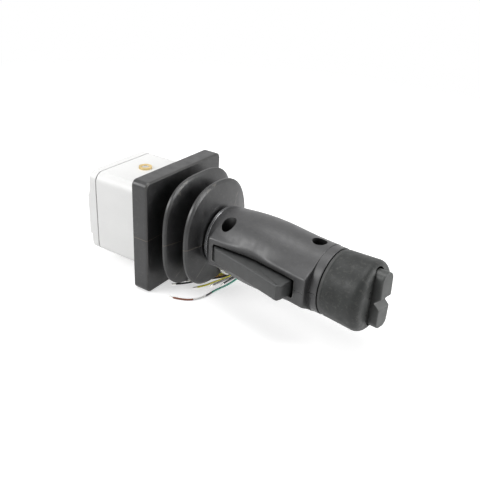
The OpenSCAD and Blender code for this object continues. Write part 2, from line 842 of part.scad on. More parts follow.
// Microswitch behind the trigger's tip
module trigger_switch() {
    color(rubber_black) laid() on_grip() {
        translate([-switch_width / 2, switch_front, switch_z - switch_length / 2])
            cube([switch_width, switch_depth, switch_length]);
        translate([0, 0, switch_z + 4]) y_rod(switch_front - plunger_reach, switch_front, 1.2);
    }
}

// ---------------------------------------------------------------- cap and rocker

// Thin grooved ring in the seam between grip and cap
module seam_ring() {
    color(rubber_black) laid() on_grip() difference() {
        translate([0, 0, grip_length]) cylinder(h = ring_thick, r = grip_top_r - ring_groove);
        translate([0, 0, grip_length - cut]) cylinder(h = ring_thick + 2 * cut, r = spigot_r);
    }
}

// Outline of the cap, flaring to its end and rounded over
function cap_outline(inset) = concat(
    [[grip_top_r - inset, cap_start]],
    [for (i = [0:6]) let (a = 90 * i / 6)
        [cap_end_r - cap_edge + (cap_edge - inset) * cos(a),
            cap_end - cap_edge + (cap_edge - inset) * sin(a)]]);

// Rubber-coated cap with a well for the rocker
module cap() {
    color(cap_grey) laid() on_grip() difference() {
        union() {
            difference() {
                rotate_extrude() polygon(concat([[0, cap_start]], cap_outline(0), [[0, cap_end]]));
                translate([0, 0, -0.01]) rotate_extrude() polygon(concat([[0, cap_start]],
                    cap_outline(cap_wall), [[0, cap_end - cap_wall]]));
            }
            intersection() {
                rotate_extrude() polygon(concat([[0, cap_start]], cap_outline(cut),
                    [[0, cap_end - cut]]));
                translate([-well_length / 2 - 2, -well_width / 2 - 2, cap_end - well_depth - 2])
                    cube([well_length + 4, well_width + 4, well_depth + 2]);
            }
        }
        translate([0, 0, cap_start - cut]) cylinder(h = spigot_height + cut, r = spigot_r);
        translate([-well_length / 2, -well_width / 2, cap_end - well_depth])
            cube([well_length, well_width, well_depth + cut]);
        translate([0, 0, rocker_pin_z])
            y_rod(-well_width / 2 - 2, well_width / 2 + 2, rocker_pin_r);
        for (x = [-1, 1]) translate([x * rocker_length / 4, 0, cap_end - well_depth - 3])
            cylinder(h = 4, r = 1.8);
        pit_holes();
    }
}

// Small moulded pits beside the rocker
module pit_holes() {
    for (x = [-8.5, -4, 8.5])
        translate([x, -well_width / 2 - 3, cap_end - 1.2]) cylinder(h = 2, r = 0.8);
}

// End outline of the rocker, across the cap: two pads with a notch between
function rocker_outline() = concat(
    [[-rocker_length / 2 + 1.6, rocker_base], [-rocker_length / 2, rocker_base + 1.6]],
    [for (i = [0:5]) let (a = 180 - 90 * i / 5)
        [-rocker_length / 2 + pad_corner + pad_corner * cos(a),
            rocker_top - pad_corner + pad_corner * sin(a)]],
    [[-notch_depth - 1, rocker_top - 0.4], [-notch_depth - 0.2, rocker_top - 1],
        [0, rocker_top - 1 - notch_depth],
        [notch_depth + 0.2, rocker_top - 1], [notch_depth + 1, rocker_top - 0.4]],
    [for (i = [0:5]) let (a = 90 - 90 * i / 5)
        [rocker_length / 2 - pad_corner + pad_corner * cos(a),
            rocker_top - pad_corner + pad_corner * sin(a)]],
    [[rocker_length / 2, rocker_base + 1.6], [rocker_length / 2 - 1.6, rocker_base]]);

// Rubber-covered rocker that tips on its pin
module rocker() {
    color(cap_grey) laid() on_grip() difference() {
        union() {
            rotate([90, 0, 0]) translate([0, 0, -rocker_width / 2])
                linear_extrude(rocker_width) polygon(rocker_outline());
            translate([0, 0, rocker_pin_z])
                y_rod(-rocker_width / 2 + 1, rocker_width / 2 - 1, rocker_boss_r);
        }
        translate([0, 0, rocker_pin_z])
            y_rod(-rocker_width, rocker_width, rocker_pin_r + running_fit);
    }
}

// Pin that the rocker tips on
module rocker_pin() {
    color(steel) laid() on_grip() translate([0, 0, rocker_pin_z])
        y_rod(-well_width / 2 - 2, well_width / 2 + 2, rocker_pin_r);
}

// Twin push switch under the rocker
module rocker_switch() {
    color(rubber_black) laid() on_grip() {
        translate([-rocker_switch_length / 2, -rocker_switch_width / 2,
            cap_end - well_depth - 2.4 - rocker_switch_height])
            cube([rocker_switch_length, rocker_switch_width, rocker_switch_height]);
        for (x = [-1, 1]) translate([x * rocker_length / 4, 0, cap_end - well_depth - 2.4])
            cylinder(h = plunger_stroke, r = plunger_r);
    }
}

// ---------------------------------------------------------------- cable and leads

// Tapered strain relief in the side of the housing
module cable_boot() {
    color(rubber_black) laid() translate([cable_exit_x, half_housing, cable_exit_z])
        rotate([-90, 0, 0]) difference() {
            union() {
                cylinder(h = 2.4, r = cable_d / 2 + 3.4);
                translate([0, 0, -housing_wall]) cylinder(h = housing_wall + 1, r = cable_d / 2 + 1.5);
                cylinder(h = cable_boot_length, r1 = cable_d / 2 + 2.2, r2 = cable_d / 2 + 0.5);
            }
            translate([0, 0, -housing_wall - cut])
                cylinder(h = housing_wall + 4 + cut, r = cable_d / 2);
        }
}

// Sheathed cable from the strain relief to the breakout sleeve
module cable() {
    color(rubber_black) tube_along(cable_route, cable_d / 2, 8, [0.1, 0.05, 1]);
}

// Heat-shrink sleeve where the leads part
module breakout_sleeve() {
    color(rubber_black) translate(sleeve_start) rotate([0, 0, sleeve_turn])
        x_rod(0, sleeve_length, sleeve_r);
}

// One insulated lead
module lead(route, tint) {
    color(tint) tube_along(route, lead_d / 2, 8, [0.1, 0.05, 1]);
}

module lead_white_long() {
    lead(white_long_route, [0.92, 0.92, 0.90]);
}

module lead_white_short() {
    lead(white_short_route, [0.90, 0.90, 0.88]);
}

module lead_tan() {
    lead(tan_route, [0.72, 0.58, 0.42]);
}

module lead_teal() {
    lead(teal_route, [0.10, 0.55, 0.48]);
}

module lead_black() {
    lead(black_route, [0.06, 0.06, 0.06]);
}

module lead_black_short() {
    lead(black_short_route, [0.06, 0.06, 0.06]);
}

module lead_yellow_far() {
    lead(yellow_far_route, [0.85, 0.78, 0.20]);
}

module lead_yellow_near() {
    lead(yellow_near_route, [0.88, 0.85, 0.40]);
}

module lead_grey() {
    lead(grey_route, [0.55, 0.54, 0.52]);
}

module lead_green() {
    lead(green_route, [0.05, 0.42, 0.36]);
}

housing();
rear_cover();
cover_gasket();
cover_screws();
mounting_plate();
plate_screws();
boot();
upper_bush();
lower_bush();
pivot_shaft();
lever_hub();
hub_grub_screw();
lever_rod();
centring_spring();
spring_post();
magnet_holder();
sensor_magnet();
circuit_board();
hall_sensor();
board_screws();
neck_collar();
grip_upper_half();
grip_lower_half();
grip_screws();
trigger();
trigger_pin();
trigger_spring();
trigger_switch();
seam_ring();
cap();
rocker();
rocker_pin();
rocker_switch();
cable_boot();
cable();
breakout_sleeve();
lead_white_long();
lead_white_short();
lead_tan();
lead_teal();
lead_black();
lead_black_short();
lead_yellow_far();
lead_yellow_near();
lead_grey();
lead_green();
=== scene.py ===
import math

import bmesh
import bpy
import numpy as np
from mathutils import Matrix


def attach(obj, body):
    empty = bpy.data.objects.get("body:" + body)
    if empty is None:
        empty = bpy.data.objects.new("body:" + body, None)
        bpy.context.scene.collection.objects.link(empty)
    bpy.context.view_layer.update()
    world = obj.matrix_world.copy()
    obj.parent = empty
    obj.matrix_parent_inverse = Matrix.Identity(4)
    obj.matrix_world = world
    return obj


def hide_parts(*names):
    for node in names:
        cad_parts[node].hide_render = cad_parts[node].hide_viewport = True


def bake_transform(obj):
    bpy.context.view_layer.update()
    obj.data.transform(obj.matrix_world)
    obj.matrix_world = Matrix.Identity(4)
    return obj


bl_info = {
    "name": "Industrial Joystick",
    "version": (1, 0, 0),
    "blender": (4, 5, 0),
    "location": "3D View > Sidebar > Joystick",
    "description": "Dresses the joystick's rigid frame with its rubber, plastic, metal and leads",
    "category": "Object",
}

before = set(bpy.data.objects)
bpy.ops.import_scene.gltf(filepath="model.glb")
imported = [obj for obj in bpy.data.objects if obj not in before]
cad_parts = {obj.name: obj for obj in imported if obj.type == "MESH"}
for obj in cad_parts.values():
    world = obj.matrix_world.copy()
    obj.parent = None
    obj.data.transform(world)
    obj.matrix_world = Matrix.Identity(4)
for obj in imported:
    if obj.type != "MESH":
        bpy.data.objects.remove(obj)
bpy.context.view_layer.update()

# These lengths are in millimetres. Those on the grip, from GRIP_END on, are measured from GRIP_START.
MM = 0.001
LEAN = math.radians(5.0)
BOOT_WALL = 2.4
VALLEY_HEIGHT = 34.0
VALLEY_RADIUS = 26.0
GRIP_START = 53.2
GRIP_END = 94.45
JOINT_EASE = 0.22
JOINT_GAP = 0.05
SWELL_AT = 38
GUARD_START = 5.0
GUARD_BEND = 42
GUARD_END = 88.0
GUARD_HALF = 10.5
POCKET_FLOOR = -15.0
POCKET_MIDDLE = 44.0
CAP_FOOT = 97.05
CAP_END = 124.6
ROCKER_FOOT = 123.0
FLOOR_Z = -45.0
LEAD_Z = -44.2
COLLECTION_NAME = "Joystick"


# ------------------------------------------------------------------ shapes

def linear(red, green, blue):
    """Linear colour of an 8-bit display colour: ((c / 255 + 0.055) / 1.055) to the power 2.4."""
    c = np.array([red, green, blue]) / 255.0
    low = c / 12.92
    high = ((c + 0.055) / 1.055) ** 2.4
    return tuple(float(x) for x in np.where(c <= 0.04045, low, high))


def around(count):
    """Angles evenly round a full turn."""
    return np.linspace(0, 2 * math.pi, count, endpoint=False)


def quarter(count):
    """Angles evenly from 0 to a quarter turn."""
    return np.linspace(0, math.pi / 2, count)


def unit(vectors):
    """Vectors brought to length 1."""
    return vectors / np.linalg.norm(vectors, axis=-1, keepdims=True)


def upright(points):
    """Row place in metres of millimetre points drawn with the lever along Z: (z, y, -x)."""
    p = np.asarray(points, float)
    return np.stack([p[..., 2], p[..., 1], -p[..., 0]], -1) * MM


def on_grip(points):
    """Row place in metres of millimetre points on the grip's axis, which leans by LEAN towards -Y."""
    p = np.asarray(points, float)
    x, y, z = p[..., 0], p[..., 1], p[..., 2]
    along = GRIP_START + y * math.sin(LEAN) + z * math.cos(LEAN)
    across = y * math.cos(LEAN) - z * math.sin(LEAN)
    return np.stack([along, across, -x], -1) * MM


def grid_faces(rows, columns, wrap_rows):
    """Quads between neighbouring rows and columns; columns always wrap, rows wrap if asked."""
    i = np.arange(rows if wrap_rows else rows - 1)
    j = np.arange(columns)
    i, j = np.meshgrid(i, j, indexing="ij")
    down = (i + 1) % rows
    right = (j + 1) % columns
    quads = [i * columns + j, i * columns + right, down * columns + right, down * columns + j]
    return np.stack(quads, -1).reshape(-1, 4)


def fan(first, columns, centre, flip):
    """Triangles from a ring of points that starts at index first to one centre point."""
    j = np.arange(columns)
    k = (j + 1) % columns
    ends = (first + k, first + j) if flip else (first + j, first + k)
    return np.stack([np.full(columns, centre), *ends], -1)


def tetra_volume(points, triangles):
    """Six times the signed volume under triangles: the sum of a . (b x c)."""
    a, b, c = (points[triangles[:, k]] for k in range(3))
    return float(np.einsum("ij,ij->", a, np.cross(b, c)))


def link(obj):
    """Puts an object in the joystick's own collection."""
    group = bpy.data.collections.get(COLLECTION_NAME)
    if group is None:
        group = bpy.data.collections.new(COLLECTION_NAME)
        bpy.context.scene.collection.children.link(group)
    group.objects.link(obj)
    return obj


def solid(name, grid, wrap_rows=False, sharp=35.0, uv=None, folded=False):
    """Closed mesh through grid[row, column]: quads between neighbours, and where the rows don't wrap,
    a fan of triangles from each end ring to its mean point. A folded last ring already meets itself, so it
    is welded and has no fan. Faces are turned so the volume is positive."""
    rows, columns = grid.shape[:2]
    points = grid.reshape(-1, 3)
    quads = grid_faces(rows, columns, wrap_rows)
    triangles = np.empty((0, 3), int)
    if not wrap_rows:
        points = np.vstack([points, grid[0].mean(0), grid[-1].mean(0)])
        start = fan(0, columns, rows * columns, True)
        end = fan((rows - 1) * columns, columns, rows * columns + 1, False)
        triangles = start if folded else np.vstack([start, end])
    volume = tetra_volume(points, quads[:, [0, 1, 2]]) + tetra_volume(points, quads[:, [0, 2, 3]])
    volume += tetra_volume(points, triangles) if len(triangles) else 0.0
    if volume < 0:
        quads = quads[:, ::-1]
        triangles = triangles[:, ::-1]
    mesh = bpy.data.meshes.new(name)
    mesh.from_pydata(points.tolist(), [], quads.tolist() + triangles.tolist())
    if folded:
        weld(mesh)
    mesh.shade_smooth()
    mesh.set_sharp_from_angle(angle=math.radians(sharp))
    if uv is not None:
        ends = uv[[0, -1]].mean(1) if not wrap_rows else np.empty((0, 2))
        flat = np.vstack([uv.reshape(-1, 2), ends])
        corner = np.empty(len(mesh.loops), int)
        mesh.loops.foreach_get("vertex_index", corner)
        layer = mesh.uv_layers.new(name="length")
        layer.data.foreach_set("uv", flat[corner].astype(np.float32).ravel())
    return link(bpy.data.objects.new(name, mesh))


def weld(mesh):
    """Merges points that lie together and drops loose ones."""
    edit = bmesh.new()
    edit.from_mesh(mesh)
    bmesh.ops.remove_doubles(edit, verts=edit.verts, dist=1e-6)
    bmesh.ops.dissolve_degenerate(edit, edges=edit.edges, dist=1e-7)
    loose = [v for v in edit.verts if not v.link_faces]
    bmesh.ops.delete(edit, geom=loose, context="VERTS")
    edit.to_mesh(mesh)
    edit.free()


def carve(piece, cutters, sharp=35.0):
    """Takes the cutters' volumes out of a piece and removes them; the result is the piece's own mesh."""
    for cutter in cutters:
        step = piece.modifiers.new("carve", "BOOLEAN")
        step.operation = "DIFFERENCE"
        step.solver = "EXACT"
        step.object = cutter
    bpy.context.view_layer.update()
    graph = bpy.context.evaluated_depsgraph_get()
    carved = bpy.data.meshes.new_from_object(piece.evaluated_get(graph))
    piece.modifiers.clear()
    piece.data = carved
    carved.set_sharp_from_angle(angle=math.radians(sharp))
    for cutter in cutters:
        bpy.data.objects.remove(cutter)
    return piece


def fillet_path(corners, radii, steps=5):
    """Polyline with its corners rounded: each inner corner becomes an arc between the two points that lie
    r * tan(turn / 2) before and after it."""
    corners = np.asarray(corners, float)
    parts = [corners[:1]]
    for i in range(1, len(corners) - 1):
        before = corners[i - 1] - corners[i]
        after = corners[i + 1] - corners[i]
        reach = [np.linalg.norm(before), np.linalg.norm(after)]
        before = unit(before)
        after = unit(after)
        cosine = np.clip(np.dot(before, after), -1, 1)
        half = math.acos(cosine) / 2
        if radii[i] <= 0 or half > math.pi / 2 - 0.02:
            parts.append(corners[i:i + 1])
            continue
        setback = min(radii[i] / math.tan(half), 0.48 * reach[0], 0.48 * reach[1])
        radius = setback * math.tan(half)
        centre = corners[i] + unit(before + after) * radius / math.sin(half)
        first = corners[i] + before * setback - centre
        last = corners[i] + after * setback - centre
        t = np.linspace(0, 1, steps + 1)[:, None]
        sweep = math.pi - 2 * half
        arc = (np.sin((1 - t) * sweep) * first + np.sin(t * sweep) * last) / math.sin(sweep)
        parts.append(centre + arc)
    parts.append(corners[-1:])
    return np.vstack(parts)


def densify(path, step):
    """Path with points no further apart than step, keeping its own points."""
    path = np.asarray(path, float)
    spans = np.linalg.norm(np.diff(path, axis=0), axis=1)
    counts = np.maximum(1, np.ceil(spans / step).astype(int))
    at = np.concatenate([i + np.arange(n) / n for i, n in enumerate(counts)] + [[len(path) - 1]])
    index = np.arange(len(path))
    return np.stack([np.interp(at, index, path[:, k]) for k in range(path.shape[1])], -1)


def square_radius(angle, half_side, corner):
    """Distance from the centre of a rounded square to its edge at an angle: half_side over the larger of
    |cos| and |sin|, or on a corner the root of the circle's equation about the corner's centre."""
    u = np.abs(np.cos(angle))
    v = np.abs(np.sin(angle))
    side = half_side / np.maximum(u, v)
    k = half_side - corner
    root = np.maximum(k * k * (u + v) ** 2 - 2 * k * k + corner * corner, 0)
    round_part = k * (u + v) + np.sqrt(root)
    return np.where(np.minimum(u, v) * side > k, round_part, side)


def oblong(half_long, half_wide, corner, count):
    """Outline of a rounded oblong, count points to a corner, and at each point the direction outwards."""
    q = quarter(count)
    arc = np.stack([np.cos(q), np.sin(q)], -1) * corner
    x = half_long - corner
    y = half_wide - corner
    parts = [arc + [x, y], arc[::-1] * [-1, 1] + [-x, y], -arc + [-x, -y], arc[::-1] * [1, -1] + [x, -y]]
    outline = densify(np.vstack([*parts, parts[0][:1]]), 1.5)[:-1]
    core = np.stack([np.clip(outline[:, 0], -x, x), np.clip(outline[:, 1], -y, y)], -1)
    return outline, (outline - core) / corner


def slab(name, outline, half_width, edge):
    """Flat piece on the grip with round edges: the closed outline (y, z) is set at widths from -half_width to
    half_width, and drawn in along its own normals by edge * (1 - cos a) as the width runs edge * sin a."""
    step = np.roll(outline, -1, 0) - np.roll(outline, 1, 0)
    normal = unit(np.stack([step[:, 1], -step[:, 0]], -1))
    area = np.sum(outline[:, 0] * np.roll(outline[:, 1], -1) - np.roll(outline[:, 0], -1) * outline[:, 1])
    normal *= np.sign(area)
    a = quarter(6)
    widths = half_width - edge + edge * np.sin(a)
    inset = edge * (1 - np.cos(a))
    widths = np.concatenate([-widths[::-1], widths])
    inset = np.concatenate([inset[::-1], inset])
    flat = outline[None] - normal[None] * inset[:, None, None]
    across = np.broadcast_to(widths[:, None, None], flat.shape[:2] + (1,))
    return solid(name, on_grip(np.concatenate([across, flat], -1)))


# ------------------------------------------------------------------ finishes

def empty_tree(block):
    """Node tree of a material or world, with nothing in it."""
    block.use_nodes = True
    block.node_tree.nodes.clear()
    return block.node_tree


def fill(tree, node, inputs):
    """Gives each input of a node its value, or a link where another node's output is given."""
    for socket, value in inputs.items():
        if isinstance(value, bpy.types.NodeSocket):
            tree.links.new(value, node.inputs[socket])
        else:
            node.inputs[socket].default_value = value


def add(tree, kind, inputs=None, **settings):
    """New node with its settings and inputs."""
    node = tree.nodes.new(kind)
    for key, value in settings.items():
        setattr(node, key, value)
    fill(tree, node, inputs or {})
    return node


def fresh_nodes(name):
    """New material with only a Principled shader and its output."""
    made = bpy.data.materials.new(name)
    tree = empty_tree(made)
    shader = add(tree, "ShaderNodeBsdfPrincipled")
    add(tree, "ShaderNodeOutputMaterial", {"Surface": shader.outputs["BSDF"]})
    return made, tree, shader


def object_place(tree):
    """Place of a surface point in its object's own space."""
    return add(tree, "ShaderNodeTexCoord").outputs["Object"]


def noise(tree, scale, detail=3.0, stretch=None, roughness=0.5):
    """Noise in object space; scale is in waves per metre, and stretch multiplies it along each axis."""
    where = object_place(tree)
    if stretch is not None:
        where = add(tree, "ShaderNodeMapping", {"Vector": where, "Scale": stretch}).outputs["Vector"]
    inputs = {"Vector": where, "Scale": scale, "Detail": detail, "Roughness": roughness}
    return add(tree, "ShaderNodeTexNoise", inputs).outputs["Fac"]


def ramp(tree, factor, stops, blending="LINEAR"):
    """Colour ramp over a factor; stops are (position, linear colour) in rising order."""
    node = add(tree, "ShaderNodeValToRGB", {"Fac": factor})
    node.color_ramp.interpolation = blending
    points = node.color_ramp.elements
    for index, stop in enumerate((stops[0], stops[-1])):
        points[index].position = stop[0]
        points[index].color = (*stop[1], 1)
    for position, colour in stops[1:-1]:
        points.new(position).color = (*colour, 1)
    return node.outputs["Color"]


def between(tree, factor, first, second):
    """Colour that runs from one 8-bit display colour to another as the factor runs from 0 to 1."""
    return ramp(tree, factor, [(0.0, linear(*first)), (1.0, linear(*second))])


def varied(tree, factor, colour, darker, paler):
    """Colour that runs from darker to paler, each a share of itself, round the middle of the factor."""
    return ramp(tree, factor, [(0.3, shade(colour, -darker)), (0.7, shade(colour, paler))])


def spread(tree, factor, low, high, from_low=0.3, from_high=0.7):
    """Factor remapped to run from low to high."""
    inputs = {"Value": factor, "From Min": from_low, "From Max": from_high, "To Min": low, "To Max": high}
    return add(tree, "ShaderNodeMapRange", inputs).outputs["Result"]


def mix(tree, factor, first, second, how="MIX"):
    """Two colours mixed or multiplied by a factor."""
    inputs = {"Factor": factor, "A": first, "B": second}
    return add(tree, "ShaderNodeMix", inputs, data_type="RGBA", blend_type=how).outputs["Result"]


def maths(tree, operation, first, second=0.0):
    """Result of a calculation on one or two values."""
    return add(tree, "ShaderNodeMath", {0: first, 1: second}, operation=operation).outputs["Value"]


def relief(tree, shader, heights, edge=0.0):
    """Bumps laid over one another, each (height output, distance in metres), over a softened edge."""
    normal = None
    if edge > 0:
        normal = add(tree, "ShaderNodeBevel", {"Radius": edge}, samples=6).outputs["Normal"]
    for height, distance in heights:
        bump = add(tree, "ShaderNodeBump", {"Strength": 1.0, "Distance": distance, "Height": height})
        if normal is not None:
            tree.links.new(normal, bump.inputs["Normal"])
        normal = bump.outputs["Normal"]
    tree.links.new(normal, shader.inputs["Normal"])


def shade(colour, amount):
    """Colour made darker or lighter by a share of itself."""
    return tuple(min(1.0, c * (1 + amount)) for c in colour)


def painted_hollow_shade(tree, colour, reach, low=0.1):
    """Colour darkened by painted shade where the surface is shut in by walls within reach."""
    shut = add(tree, "ShaderNodeAmbientOcclusion", {"Distance": reach}, samples=8)
    deep = spread(tree, shut.outputs["AO"], low, 1.0, 0.30, 0.88)
    return mix(tree, 1.0, colour, deep, "MULTIPLY")


def painted_edge_highlight(tree, colour, pale, low=0.515, high=0.56, most=0.6):
    """Colour painted paler where the surface bulges, as a painted highlight on crests, rims and corners."""
    bulge = add(tree, "ShaderNodeNewGeometry").outputs["Pointiness"]
    return mix(tree, spread(tree, bulge, 0.0, most, low, high), colour, pale)


def plastic(name, colour, rough=(0.42, 0.58), mottle=0.14, grain=2600.0, depth=0.00002, edge=0.0,
            dust=0.0, specular=0.5, patch=90.0, reach=0.0, highlight_share=0.0):
    """Moulded plastic or rubber: colour drifts slowly, a fine grain is stippled into the surface, pale dust
    lies in patches, bulges get a painted highlight and recesses within reach get painted shade."""
    made, tree, shader = fresh_nodes(name)
    drift = noise(tree, patch, 4.0)
    base = varied(tree, drift, colour, mottle, mottle)
    if dust > 0:
        specks = spread(tree, noise(tree, 420.0, 6.0, roughness=0.7), 0.0, dust, 0.52, 0.78)
        base = mix(tree, specks, base, between(tree, drift, (128, 126, 122), (150, 148, 142)))
    # Painted highlight: bulges, crests and rims turned paler.
    if highlight_share > 0:
        base = painted_edge_highlight(tree, base, between(tree, drift, (112, 111, 109), (132, 131, 128)), 0.53, 0.6, highlight_share)
    # Painted shade: colour darkened in recesses within reach.
    if reach > 0:
        base = painted_hollow_shade(tree, base, reach)
    rough = spread(tree, noise(tree, 210.0, 5.0), *rough)
    fill(tree, shader, {"Base Color": base, "Roughness": rough, "Specular IOR Level": specular})
    relief(tree, shader, [(noise(tree, grain, 2.0), depth)], edge)
    return made


def metal(name, colour, rough=(0.22, 0.36), brushed=(1.0, 1.0, 1.0), edge=0.0002, mottle=0.08,
          grain=1500.0, depth=0.000006, reach=0.0):
    """Bare or plated metal: fine tool marks stretched along an axis, with cloudy roughness, and painted shade
    that darkens it in recesses within reach."""
    made, tree, shader = fresh_nodes(name)
    marks = noise(tree, grain, 3.0, stretch=brushed)
    base = varied(tree, noise(tree, 160.0, 4.0), colour, mottle, mottle)
    # Painted shade: colour darkened in recesses within reach.
    if reach > 0:
        base = painted_hollow_shade(tree, base, reach, 0.12)
    fill(tree, shader, {"Base Color": base, "Roughness": spread(tree, marks, *rough), "Metallic": 1.0})
    relief(tree, shader, [(marks, depth)], edge)
    return made


def casting(name, colour):
    """Powder-coated casting: faint orange-peel relief, a little grime and soft edges."""
    made, tree, shader = fresh_nodes(name)
    drift = noise(tree, 40.0, 5.0)
    specks = spread(tree, noise(tree, 900.0, 5.0, roughness=0.75), 0.0, 0.22, 0.66, 0.82)
    grime = between(tree, drift, (176, 172, 164), (196, 192, 184))
    base = mix(tree, specks, varied(tree, drift, colour, 0.035, 0.02), grime)
    rough = spread(tree, noise(tree, 300.0, 3.0), 0.34, 0.5)
    fill(tree, shader, {"Base Color": base, "Roughness": rough})
    relief(tree, shader, [(noise(tree, 1100.0, 2.0), 0.00002)], 0.0006)
    return made


def lead_finish(name, bands, tinned):
    """Glossy insulation that changes colour along the lead, and bare tinned strands near its end. The map
    named length runs from 0 at the sleeve to 1 at the tip."""
    made, tree, shader = fresh_nodes(name)
    where = add(tree, "ShaderNodeUVMap", uv_map="length").outputs["UV"]
    along = add(tree, "ShaderNodeSeparateXYZ", {"Vector": where}).outputs["X"]
    colour = ramp(tree, along, [*bands, (tinned, linear(232, 230, 224))], "CONSTANT")
    cloudy = ramp(tree, noise(tree, 700.0, 3.0), [(0.2, (0.7, 0.7, 0.7)), (0.8, (1.0, 1.0, 1.0))])
    fill(tree, shader, {
        "Base Color": mix(tree, 0.25, colour, cloudy, "MULTIPLY"),
        "Metallic": maths(tree, "GREATER_THAN", along, tinned),
        "Roughness": spread(tree, noise(tree, 500.0, 2.0), 0.26, 0.42)})
    relief(tree, shader, [(noise(tree, 1800.0, 2.0), 0.00003)])
    return made


def dress(node_name, finish):
    """Gives a CAD node its finish, in every slot that it has."""
    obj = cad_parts[node_name]
    if not obj.data.materials:
        obj.data.materials.append(finish)
    for index in range(len(obj.data.materials)):
        obj.data.materials[index] = finish


# ------------------------------------------------------------------ settings

def a_length(name, about, default):
    """Setting for a length in metres."""
    return bpy.props.FloatProperty(name=name, description=about, default=default, unit="LENGTH",
                                   subtype="DISTANCE")


def a_colour(name, about, *default):
    """Setting for a colour, whose default is an 8-bit display colour."""
    return bpy.props.FloatVectorProperty(name=name, description=about, default=linear(*default),
                                         subtype="COLOR", size=3)


def a_power(name, about, default):
    """Setting for a lamp's power in watts."""
    return bpy.props.FloatProperty(name=name, description=about, default=default, unit="POWER")


class JoystickBoot(bpy.types.PropertyGroup):
    skirt_side: a_length("Skirt side", "Side of the square skirt", 0.090)
    skirt_height: a_length("Skirt height", "Height of the skirt", 0.0133)
    skirt_corner: a_length("Skirt corner", "Corner radius of the skirt", 0.0045)
    lower_rim: a_length("Lower rim", "Radius of the lower pleat's rim", 0.043)
    upper_rim: a_length("Upper rim", "Radius of the upper pleat's rim", 0.0398)
    colour: a_colour("Rubber", "Colour of the rubber boot", 38, 38, 39)


class JoystickGrip(bpy.types.PropertyGroup):
    base_radius: a_length("Base radius", "Radius of the grip at the collar", 0.0236)
    swell_radius: a_length("Swell radius", "Largest radius of the grip", 0.0268)
    top_radius: a_length("Top radius", "Radius of the grip at the cap", 0.024)
    guard_edge: a_length("Guard edge", "Softness of the guard's edges", 0.0014)
    colour: a_colour("Grip", "Colour of the grip's plastic", 60, 60, 61)
    cap_colour: a_colour("Cap", "Colour of the cap and rocker", 36, 38, 37)


class JoystickMetal(bpy.types.PropertyGroup):
    casting: a_colour("Casting", "Colour of the painted casting", 229, 229, 228)
    steel: a_colour("Steel", "Colour of the bright steel", 205, 206, 208)
    bronze: a_colour("Bronze", "Colour of the bushes", 226, 200, 142)


class JoystickCords(bpy.types.PropertyGroup):
    cable_width: a_length("Cable diameter", "Diameter of the sheathed cable", 0.005)
    lead_width: a_length("Lead diameter", "Diameter of one insulated lead", 0.0015)
    tin_length: a_length("Bare length", "Length of the tinned end of a lead", 0.0035)
    sheath: a_colour("Sheath", "Colour of the cable's sheath", 34, 34, 36)


class JoystickStage(bpy.types.PropertyGroup):
    key_power: a_power("Key lamp", "Power of the large lamp overhead", 8.5)
    left_power: a_power("Left lamp", "Power of the lamp on the left", 11.0)
    right_power: a_power("Right lamp", "Power of the lamp on the right", 9.0)
    lens: bpy.props.FloatProperty(name="Lens", description="Focal length of the camera in millimetres",
                                  default=45.6)
    world: bpy.props.FloatProperty(name="Surround", description="Strength of the light from all round",
                                   default=0.26)


# ------------------------------------------------------------------ boot

def boot_profile(size):
    """Half section of the boot, outside then inside, as (radius, height, squareness): the skirt is square,
    and its flat top turns to round pleats, a shallow dome and the neck."""
    side = size.skirt_side / MM / 2
    top = size.skirt_height / MM
    low = size.lower_rim / MM
    high = size.upper_rim / MM
    outer = fillet_path(
        [(side - BOOT_WALL, 0), (side, 0), (side, top), (36, top), (24.5, top), (24.5, 16.8),
         (41.6, 25.0), (low, 25.4), (low, 27.4), (41.4, 28.2), (26.6, 32.4), (25.2, VALLEY_HEIGHT),
         (26.6, 35.8), (38.6, 41.0), (high, 41.4), (high, 43.4), (38.2, 44.7), (21.0, 48.2), (19.5, 48.7),
         (19.5, 46.3)],
        [0, 0.3, 1.5, 0, 0.8, 1.2, 0.5, 0.45, 0.5, 0.8, 1.8, 1.4, 1.8, 0.5, 0.45, 0.5, 0.9, 2.0, 0.4, 0], 5)
    under = top - BOOT_WALL
    inner = [(21.0, 45.8), (36.4, 43.0), (36.7, 42.2), (24.6, 36.9), (23.0, 34.2), (24.4, 30.9),
             (39.6, 26.9), (39.8, 26.2), (22.4, 18.2), (22.2, under), (34, under), (side - BOOT_WALL, under)]
    radius, height = densify(np.vstack([outer, inner]), 1.4).T
    squareness = np.clip((radius - 33.5) / 6.0, 0, 1) * (height < top + 0.05)
    return radius, height, squareness * squareness * (3 - 2 * squareness)


def pleat_edge(size, angle, radius, height):
    """Distance from the axis on the round parts: a circle at the valleys that grows into a superellipse,
    1 / (|cos / a| ** n + |sin / b| ** n) ** (1 / n), towards the rims, squarer on the lower pleat and a
    little taller on the side away from the cable."""
    upper = height > VALLEY_HEIGHT
    rim = np.where(upper, size.upper_rim, size.lower_rim) / MM
    out = np.clip((radius - VALLEY_RADIUS) / (rim - VALLEY_RADIUS), 0, 1) * (height > size.skirt_height / MM)
    long = radius + out * np.where(np.cos(angle) < 0, np.where(upper, 1.6, 1.4), np.where(upper, 0.6, 0.0))
    wide = radius - out * np.where(upper, 1.2, 0.8)
    power = 2.0 + out * np.where(upper, 0.4, 0.9)
    return (np.abs(np.cos(angle) / long) ** power + np.abs(np.sin(angle) / wide) ** power) ** (-1 / power)


